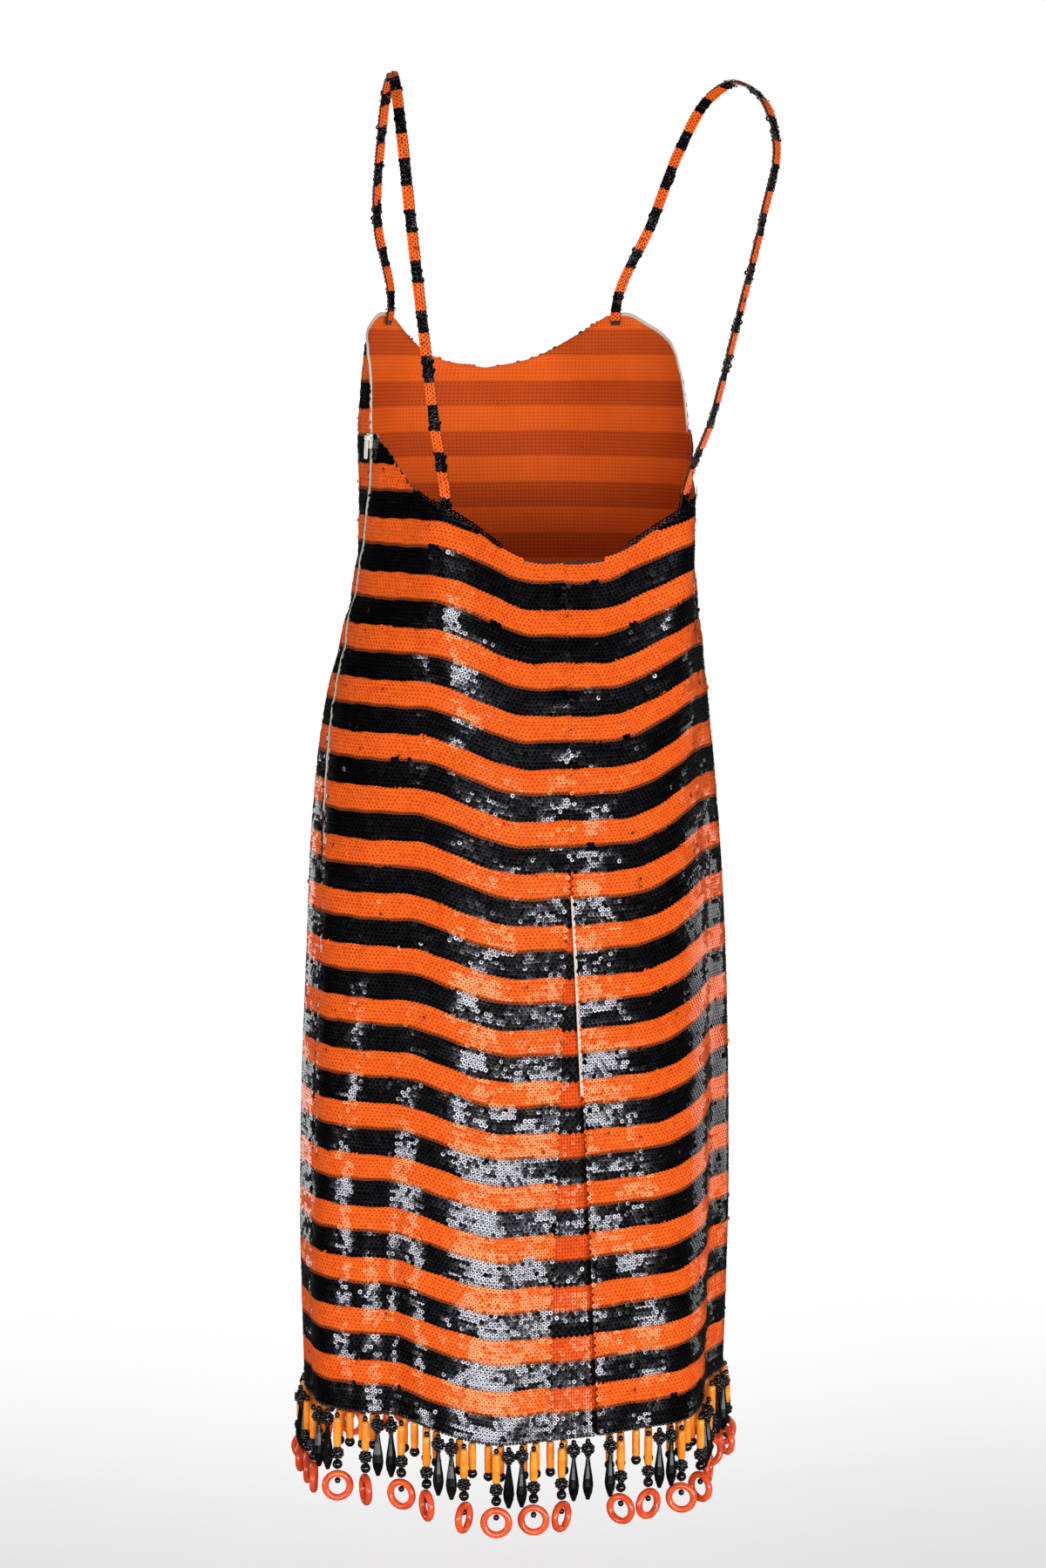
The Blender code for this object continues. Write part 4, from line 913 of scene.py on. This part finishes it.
def sew_strap(name, side, seed):
    """The strap's cloth, a thin crowned band, and the sequins on both of its faces. The side is
    1 for the left one and -1 for the right one, which mirrors it."""
    middle, across, run, face = strap_frame(STRAP_GRID[1] + 1)
    flip = np.array([side, 1.0, 1.0])
    width = np.linspace(-0.5, 0.5, STRAP_GRID[0] + 1)
    crown = (1 - (2 * width) ** 2) * STRAP_CROWN
    band = middle[:, None] + across[:, None] * (width * STRAP_WIDTH)[:, None]
    sides = [((band + face[:, None] * (crown + lift)[:, None]) * flip)[:, ::side]
             for lift in (STRAP_THICK / 2, -STRAP_THICK / 2)]
    new_piece(thin_shell("cloth_" + name, *sides), (GROUND, GROUND), "sequins", name)

    length = length_along(middle)
    rows = int(length[-1] / STRAP_ROW) - 1
    at = np.repeat((np.arange(rows) + STRAP_FIRST) * STRAP_ROW, 2)
    stripe = (at / STRAP_STRIPE).astype(int) % 2
    place, across, run, face = (
        np.stack([np.interp(at, length, axis) for axis in way.T], -1)
        for way in (middle, across, run, face))
    beside = np.tile([-0.5, 0.5], rows) * (STRAP_WIDTH - 2 * SEQUIN_RADIUS + STRAP_OVERHANG)
    beside += np.random.default_rng(seed).normal(0.0, STRAP_STRAYS, len(at)) * (stripe == 0)
    place = np.tile(place + unit(across) * beside[:, None], (2, 1))
    up = np.tile(unit(run) * np.where(run[:, 2:] < 0, -1.0, 1.0) * flip, (2, 1))
    face = np.concatenate([unit(face), -unit(face)])
    centre, face = (place + face * STRAP_SEQUIN_OUT) * flip, face * flip
    face = unit(face - up * (face * up).sum(1, keepdims=True))
    stripe = np.tile(stripe, 2)
    cell = sequin_cells(np.ones(len(stripe), int), seed)
    for colour, finish, these in (("black", LOOSE_BLACK_SEQUIN, stripe == 0),
                                  ("orange", ORANGE_SEQUIN, stripe == 1)):
        lay_sequins("sequins_%s_%s" % (name, colour), RING_SEQUIN, centre[these], face[these],
                    up[these], 0.0, STRAP_LOOSE[colour], cell[these], finish, name, seed)


sew_strap("strap_left", 1, 51)
sew_strap("strap_right", -1, 52)

# ---------------------------------------------------------------- the scoop's single sequins
# A line of black ring sequins sewn one by one, hanging loose, on the cut edge of the back's scoop
# under each strap.
LINE_FROM, LINE_TO, LINE_OVER = 43.0, 68.0, 0.0013      # its angles, and how far over the edge
LINE_OUT, LINE_LOOSE, LINE_STEPS = 0.0006, 12.0, 200
fine = np.linspace(LINE_FROM, LINE_TO, LINE_STEPS)
for name, node, angle in (("scoop_line_left", "back_left", fine),
                          ("scoop_line_right", "back_right", 2 * CENTRE_BACK - fine)):
    along = length_along(cloth_face(angle, upper_edge(angle) + LINE_OVER))
    angle = np.interp(np.arange(0.0, along[-1], SEQUIN_PITCH), along, angle)
    out = outward(angle, upper_edge(angle))
    place = cloth_face(angle, upper_edge(angle) + LINE_OVER) + out * LINE_OUT
    up = unit(np.array([0.0, 0.0, 1.0]) - out * out[:, 2:])
    cell = sequin_cells(np.ones(len(angle), int), 61)
    lay_sequins(name, RING_SEQUIN, place, out, up, 0.0, LINE_LOOSE, cell, LOOSE_BLACK_SEQUIN,
                node, 62)

# ---------------------------------------------------------------- the bindings
# Narrow ivory ribbon folded over the cloth's edge: along both armholes of the front, and down the
# free edge of the right back at the kick pleat.
RIBBON_TALL, RIBBON_THICK, RIBBON_OVER = 0.0030, 0.0017, 0.0005
RIBBON_SQUARE, RIBBON_SIDES = 3.5, 14     # how far its oval is drawn towards a rectangle
RIBBON_STARTS = 0.6       # degrees from the side seam
RIBBON_STEPS, PLEAT_RIBBON_STEPS = 90, 60
PLEAT_RIBBON, PLEAT_SHOWS = (0.295, 0.468), 0.0013     # its heights, and how far it stands out

RIBBON = woven_finish("ivory_ribbon", (0.44, 0.39, 0.30), (0.68, 0.63, 0.53), 0.6, 0.0005)


def capped_rings(rings, foot, head):
    """Points and triangles of a closed form: rings of points one after the other, and a fan to a
    point at each end."""
    count, sides = rings.shape[:2]
    points = np.concatenate([foot[None], rings.reshape(-1, 3), head[None]])
    k = np.arange(sides)
    after, top = (k + 1) % sides, 1 + (count - 1) * sides
    return points, np.concatenate([np.stack([0 * k, 1 + after, 1 + k], -1),
                                   1 + ring_band(count, sides),
                                   np.stack([0 * k + len(points) - 1, top + k, top + after], -1)])


def bind_edge(name, angle, height, side):
    """A ribbon over a cut edge: a flattened oval (its sine and cosine drawn towards a rectangle)
    carried along the edge, across the cloth by its thickness and into it by its width. The side
    is 1 where the cloth lies to the right of the run, seen from outside, and else -1."""
    edge, out = cloth_face(angle, height), outward(angle, height)
    inwards = unit(np.cross(np.gradient(edge, axis=0), out)) * side
    cos, sin = circle(RIBBON_SIDES).T
    drawn = (np.abs(cos) ** RIBBON_SQUARE + np.abs(sin) ** RIBBON_SQUARE) ** (-1 / RIBBON_SQUARE)
    middle = (edge - out * (CLOTH_OUTSIDE + CLOTH_INSIDE) / 2
              + inwards * (RIBBON_TALL / 2 - RIBBON_OVER))
    rings = (middle[:, None] + out[:, None] * (cos * drawn * RIBBON_THICK / 2)[:, None]
             + inwards[:, None] * (sin * drawn * RIBBON_TALL / 2)[:, None])
    points, faces = capped_rings(rings, middle[0], middle[-1])
    new_piece(new_mesh(name, points, faces[:, ::side]), (RIBBON,), "tape")


angle = np.linspace(UNDERARM.angle - RIBBON_STARTS, RIBBON_FROM, RIBBON_STEPS)
bind_edge("armhole_binding_left", angle, upper_edge(angle), -1)
bind_edge("armhole_binding_right", 180.0 - angle, upper_edge(180.0 - angle), 1)
height = np.linspace(*PLEAT_RIBBON, PLEAT_RIBBON_STEPS)
bind_edge("pleat_binding", PANELS["back_right"][0](height) - degrees_for(PLEAT_SHOWS, height),
          height, 1)

# ---------------------------------------------------------------- the zip
# A coil zip in the left side seam: a woven cream tape sewn behind the two cloth edges, a row of
# moulded teeth on it, and an enamelled slider at the top with a narrow pull that hangs plumb.
TAPE_WIDER, TAPE_UNDER = 3.6, 0.0022      # its degrees beyond the gap, and how deep it lies
TAPE_THICK, TAPE_BARE = 0.0007, 0.0006    # it ends this much below the back's edge
TAPE_FLAT, TAPE_CUT, TAPE_GRID = (0.0215, 0.367), 0.0073, (8, 120)
TOOTH_PITCH, TOOTH_LONG, TOOTH_TALL, TOOTH_WIDE = 0.0014, 0.0034, 0.0009, 0.0011
TOOTH_IN, TOOTH_SHARP = 0.0008, math.radians(40.0)    # the angle from which its edges are sharp
TOOTH_CORNERS = (         # one end of a tooth, in shares of its length and width
    (-0.5, -0.25), (-0.36, -0.5), (0.36, -0.5), (0.5, -0.25),
    (0.5, 0.25), (0.36, 0.5), (-0.36, 0.5), (-0.5, 0.25))
TEETH_FROM, TEETH_TO = 0.506, 0.8105

TAPE = woven_finish("zip_tape_weave", (0.50, 0.43, 0.32), (0.74, 0.67, 0.54), 0.75, 0.0008)
across = np.linspace(-1.0, 1.0, TAPE_GRID[0] + 1)
top = np.full(len(across), UNDERARM.height)
for _ in range(SETTLES):      # its top is cut along the back's edge, which depends on the angle
    angle = side_seam(top) + (zip_gap(top) + TAPE_WIDER) * across
    top = np.minimum(UNDERARM.height, upper_edge(angle) - TAPE_BARE)
height = ZIP_FOOT + (top - ZIP_FOOT) * np.linspace(0.0, 1.0, TAPE_GRID[1] + 1)[:, None]
angle = side_seam(height) + (zip_gap(height) + TAPE_WIDER) * across
zip_tape = new_piece(
    thin_shell("zip_tape_cloth", set_in(angle, height, TAPE_UNDER),
               set_in(angle, height, TAPE_UNDER + TAPE_THICK)), (TAPE, TAPE), "tape", "zip_tape")

NYLON, tone = new_finish("zip_teeth_nylon")
cloud = tone.spot().noise(900.0, 2.0)
tone.surface({"Base Color": cloud.mix((0.56, 0.49, 0.37), (0.78, 0.72, 0.60)),
              "Roughness": cloud * 0.2 + 0.35})


def copies(form, place, *ways):
    """A form's points and faces at each place, turned so that its x, y and z lie along the three
    ways there."""
    points, faces = form
    every = place[:, None] + sum(way[:, None] * points[:, i:i + 1] for i, way in enumerate(ways))
    shift = np.arange(len(place))[:, None, None] * len(points)
    return every.reshape(-1, 3), (shift + faces).reshape(-1, faces.shape[1])


# A tooth is a bar with bevelled ends: eight sides, and three quads to close each end.
tooth = np.array([(x, y, z) for z in (-0.5, 0.5) for x, y in TOOTH_CORNERS])
tooth = tooth * (TOOTH_LONG, TOOTH_WIDE, TOOTH_TALL) - (0.0, 0.0, TOOTH_IN)
k = np.arange(8)
caps = np.array([(8, 9, 10, 11), (8, 11, 12, 15), (12, 13, 14, 15)])
tooth_faces = np.concatenate([np.stack([k, (k + 1) % 8, 8 + (k + 1) % 8, 8 + k], -1),
                              caps, caps[:, ::-1] - 8])
height = np.arange(TEETH_FROM, TEETH_TO, TOOTH_PITCH)
middle, out = set_in(side_seam(height), height, 0.0), outward(side_seam(height), height)
along = unit(np.gradient(middle, axis=0))
teeth = new_mesh("zip_teeth", *copies((tooth, tooth_faces), middle, np.cross(along, out), along,
                                      out))
teeth.set_sharp_from_angle(angle=TOOTH_SHARP)
new_piece(teeth, (NYLON,), "tape", "zip_coil")

ENAMEL, tone = new_finish("cream_enamel")
worn = tone.spot().noise(420.0, 5.0)
tone.surface({
    "Base Color": worn.between(0.30, 0.42).mix((0.40, 0.37, 0.30), (0.74, 0.70, 0.58)),
    "Roughness": worn * 0.25 + 0.18, "Metallic": 1 - worn.between(0.25, 0.36),
    "Normal": tone.spot().noise(700.0, 2.0).bump(0.12, 0.0002), "Coat Weight": 0.4})
for name in ("zip_slider", "zip_pull"):
    for holder in bpy.data.objects[name].material_slots:
        holder.material = ENAMEL

# ---------------------------------------------------------------- the hem's beaded strip
# A row of small black glass beads sewn on just below each panel's edge. The fringe hangs from it.
STRIP_TALL, STRIP_THICK, STRIP_PARTING = 0.0030, 0.0024, 0.0008
SEED_PITCH, SEED_RADIUS, SEEDS_UP = 0.0029, 0.0015, 0.0005
STRIP_STEPS = 721         # points that its length is measured by
UPRIGHT = np.array([[0.0, 0.0, 1.0]])

Strip = namedtuple("Strip", "node first last inwards lower")
pleat, gap, seam = pleat_swing(0.0), degrees_for(SEAM, 0.0), side_seam(0.0)
left, right = CENTRE_BACK - pleat, CENTRE_BACK + pleat
STRIPS = (                # one under each panel: its angles, how far set in and how far lower
    Strip("fringe_left", seam + gap, left - gap, 0.0, 0.0),
    Strip("fringe_pleat", left + gap, right - gap, UNDERLAY_IN_HEM, UNDERLAY_DROP),
    Strip("fringe_right", right + gap, 180.0 - seam - gap, 0.0, 0.0),
    Strip("fringe_front", 180.0 - seam + gap, 360.0 + seam - gap, 0.0, 0.0))
FRINGE = [strip.node for strip in STRIPS]


def bead_finish(name, dark, light, deep, roughness, gloss=(1.54, 0.5)):
    """Pressed glass: a slow noise gives each bead a shade of its own, and a fine one clouds and
    roughens it a little. Gloss is its index and the weight of its clear coat."""
    finish, tone = new_finish(name)
    own = tone.spot().noise(95.0, 1.0).between(0.35, 0.65)
    streak = tone.spot().noise(640.0, 3.0)
    tone.surface({
        "Base Color": (streak.between(0.45, 0.75) * 0.6).mix(own.mix(dark, light), deep),
        "Roughness": streak * 0.14 + roughness, "Normal": streak.bump(0.10, 0.0003),
        "IOR": gloss[0], "Coat Weight": gloss[1], "Coat Roughness": 0.06})
    return finish


BLACK_GLASS = bead_finish("black_glass", (0.0020, 0.0018, 0.0022), (0.006, 0.0055, 0.006),
                          (0.010, 0.009, 0.009), 0.07)


def turned_bead(profile, sides):
    """A closed bead: each inner (radius, height) point of the profile is swept round the upright
    axis, and the first and last are the poles."""
    radius, height = np.array(profile).T
    flat = radius[1:-1, None, None] * circle(sides)
    rings = np.concatenate([flat, np.broadcast_to(
        height[1:-1, None, None], (len(radius) - 2, sides, 1))], -1)
    return capped_rings(rings, np.array([0.0, 0.0, height[0]]), np.array([0.0, 0.0, height[-1]]))


def round_bead(radius, sides, levels):
    """A ball: its profile's points lie at even angles from its foot to its head."""
    turn = np.linspace(-np.pi / 2, np.pi / 2, levels)
    return turned_bead(np.stack([np.cos(turn), np.sin(turn)], -1) * radius, sides)


def joined(parts):
    """Several pairs of points and triangles as one pair."""
    shift = np.cumsum([0] + [len(points) for points, _ in parts[:-1]])
    return (np.concatenate([points for points, _ in parts]),
            np.concatenate([faces + more for (_, faces), more in zip(parts, shift, strict=True)]))


def hem_frames(angles, strip):
    """Points on the hem at a strip's middle, with the level directions sideways and out."""
    points = cloth_face(angles, 0.0)
    out = unit(outward(angles, 0.0) * [1.0, 1.0, 0.0])
    side = np.stack([-out[:, 1], out[:, 0], np.zeros(len(out))], -1)
    points = points - out * (strip.inwards + STRIP_THICK / 2)
    points[:, 2] -= strip.lower
    return points, side, out


seeds = []
for strip in STRIPS:
    fine = np.linspace(strip.first, strip.last, STRIP_STEPS)
    along = length_along(hem_frames(fine, strip)[0])
    count = int(along[-1] / SEED_PITCH)
    angles = np.interp((np.arange(count) + 0.5) / count * along[-1], along, fine)
    place, side, out = hem_frames(angles, strip)
    place = place - UPRIGHT * (STRIP_PARTING + STRIP_TALL / 2 - SEEDS_UP)
    seeds.append(copies(round_bead(SEED_RADIUS, 8, 5), place, side, out, UPRIGHT))
new_piece(new_mesh("hem_seed_beads", *joined(seeds)), (BLACK_GLASS,), "beads", *FRINGE)

# ---------------------------------------------------------------- the fringe
# Strands of glass beads hang from the strip in eighteen like groups: tubes behind, and in front
# of them strands with a tube, a cluster and a ring, between strands with a faceted drop.
GROUPS = 18
PLEAT_BARE = (-0.0265, -0.0065)           # stretch of hem at the pleat that no group takes
LONE_DROP = -0.0138       # the one drop that hangs there
BEHIND, IN_FRONT = -0.0055, 0.0045        # how far the strands stand out from the strip's middle
Strand = namedtuple("Strand", "kind along out")
GROUP = [Strand(*row) for row in (        # one group, by the place along the hem from its middle
    ("drop", -0.0244, IN_FRONT), ("tube", -0.0190, BEHIND), ("ring", -0.0137, IN_FRONT),
    ("tube", -0.0075, BEHIND), ("tube", 0.0075, BEHIND), ("ring", 0.0137, IN_FRONT),
    ("tube", 0.0190, BEHIND), ("drop", 0.0244, IN_FRONT))]
HEM_STEPS = 1441          # points that the hem's length is measured by
RING_TURNS = (24.0, -38.0, 62.0, -14.0, 44.0, -70.0, 8.0)   # how the rings swing, in turn
RING_LEVEL, RING_MIDDLE, RING_SECTION = 0.0683, 0.01060, 0.00300
CLUSTER_BEAD, CLUSTER_BEADS = 0.0018, 26
CLUSTER_SINKS = 0.7       # how far a cluster's beads sink into its core, in their radii

JET = bead_finish("jet_drop", (0.0022, 0.0020, 0.0024), (0.006, 0.0055, 0.006),
                  (0.010, 0.009, 0.009), 0.08, (1.30, 0.0))
AMBER_GLASS = bead_finish("amber_glass", (0.84, 0.22, 0.012), (0.98, 0.32, 0.026),
                          (0.76, 0.15, 0.008), 0.13)
VERMILION = bead_finish("vermilion_ring", (0.62, 0.055, 0.012), (0.86, 0.095, 0.020),
                        (0.42, 0.030, 0.008), 0.18)


def hem_lengths():
    """Angles round the hem and the length of hem from the centre back to each, measured on the
    line that the front strands hang on."""
    angle = np.linspace(CENTRE_BACK - 180.0, CENTRE_BACK + 180.0, HEM_STEPS)
    along = length_along(set_in(angle, 0.0, -IN_FRONT)[:, :2])
    return angle, np.interp(CENTRE_BACK, angle, along) - along


def strands_of(strip):
    """A strip's strands in order: the kind of each, its place and its ways sideways and out."""
    angle, length = hem_lengths()
    whole = length[0] - length[-1]
    pitch = (whole - (PLEAT_BARE[1] - PLEAT_BARE[0])) / GROUPS
    found = [Strand("drop", LONE_DROP, IN_FRONT)] + [
        strand._replace(along=(PLEAT_BARE[1] + pitch * (k + 0.5) + strand.along - length[-1])
                        % whole + length[-1])
        for k in range(GROUPS) for strand in GROUP]
    at = np.array([strand.along for strand in found])
    at = strip.first + (np.interp(-at, -length, angle) - strip.first) % 360.0
    order = [i for i in np.argsort(at) if at[i] < strip.last]
    place, side, out = hem_frames(at[order], strip)
    place = place + out * np.array([[found[i].out] for i in order])
    return np.array([found[i].kind for i in order]), place, side, out


def studded(middle, bead):
    """A bead repeated, unturned, at each middle."""
    return copies(bead, middle, *np.eye(3)[:, None])


def cluster(radius, bead_radius, beads):
    """A ball covered with little round beads, their middles on a spiral of even height steps."""
    level = 1 - 2 * (np.arange(beads) + 0.5) / beads
    turn = np.arange(beads) * np.pi * (3 - math.sqrt(5))
    flat = np.sqrt(1 - level**2)
    middle = np.stack([flat * np.cos(turn), flat * np.sin(turn), level], -1)
    return joined([round_bead(radius - bead_radius * CLUSTER_SINKS, 8, 6),
                   studded(middle * (radius - bead_radius), round_bead(bead_radius, 6, 4))])


def collar(radius, bead_radius, beads):
    """A ring of little round beads side by side."""
    middle = np.column_stack([circle(beads), np.zeros(beads)]) * radius
    return studded(middle, round_bead(bead_radius, 6, 5))


def hoop(middle, section, turn, steps=30, sides=10):
    """A round ring on edge, a circle swept along a circle, turned about the upright."""
    low, far = circle(steps).T[..., None]
    reach, deep = circle(sides).T * section + [[middle], [0.0]]
    cos, sin = math.cos(math.radians(turn)), math.sin(math.radians(turn))
    flat = reach * far
    points = np.stack([flat * cos - deep * sin, flat * sin + deep * cos, -reach * low], -1)
    return points.reshape(-1, 3), ring_band(steps, sides, closed=True)[:, ::-1]


def tube_bead(radius, long, sides=12):
    """A moulded tube: slightly barrel shaped, with rounded ends drawn in to its bore. Its lower
    half is given, as shares of the radius and metres from its end, and mirrored."""
    lower = np.array([(0.0, 0.0006), (0.62, 0.0), (0.90, 0.0006), (0.97, 0.0030)])
    lower = lower * (radius, 1.0) - (0.0, long / 2)
    return turned_bead(np.concatenate([lower, [(radius, 0.0)], lower[::-1] * (1.0, -1.0)]), sides)


DROP = ((0.0, -0.0190), (0.0016, -0.0184), (0.0041, -0.0115), (0.0049, -0.0060),
        (0.0042, 0.0010), (0.0026, 0.0110), (0.0017, 0.0182), (0.0, 0.0190))
BEADS = {
    "tube": tube_bead(0.0035, 0.0255),
    "back_tube": tube_bead(0.0034, 0.0235),
    "cap": round_bead(0.0024, 8, 6),
    "ball": round_bead(0.0044, 10, 8),
    "ring_cluster": cluster(0.0062, CLUSTER_BEAD, CLUSTER_BEADS),
    "drop_cluster": cluster(0.0064, CLUSTER_BEAD, CLUSTER_BEADS),
    "collar": collar(0.0017, 0.0010, 5),
    "drop": turned_bead(DROP, 8),
    "inner": round_bead(0.0027, 8, 7),
}
HANGS = {                 # each strand: the bead, its finish and how far its middle is down
    "tube": (("cap", "black", 0.0062), ("back_tube", "amber", 0.0166), ("ball", "black", 0.0316)),
    "ring": (("cap", "black", 0.0064), ("tube", "amber", 0.0213), ("collar", "black", 0.0346),
             ("ring_cluster", "black", 0.0398), ("ball", "black", 0.0496),
             ("inner", "black", 0.0637)),
    "drop": (("cap", "black", 0.0050), ("drop_cluster", "black", 0.0116),
             ("collar", "black", 0.0178), ("drop", "faceted", 0.0374)),
}
turns = itertools.cycle(RING_TURNS)
parts = {"black": [], "amber": [], "faceted": [], "vermilion": []}
for strip in STRIPS:
    kind, *ways = strands_of(strip)
    for strand, hangs in HANGS.items():
        place, side, out = (way[kind == strand] for way in ways)
        for bead, finish, down in hangs:
            parts[finish].append(copies(BEADS[bead], place - UPRIGHT * down, side, out, UPRIGHT))
    for place, side, out in zip(*(way[kind == "ring"] for way in ways), strict=True):
        parts["vermilion"].append(copies(
            hoop(RING_MIDDLE, RING_SECTION, next(turns)), place - UPRIGHT * RING_LEVEL,
            side[None], out[None], UPRIGHT))
for name, finish in (("black", BLACK_GLASS), ("amber", AMBER_GLASS), ("faceted", JET),
                     ("vermilion", VERMILION)):
    mesh = new_mesh("fringe_%s_beads" % name, *joined(parts[name]))
    if name == "faceted":
        mesh.shade_flat()
    new_piece(mesh, (finish,), "beads", *FRINGE)
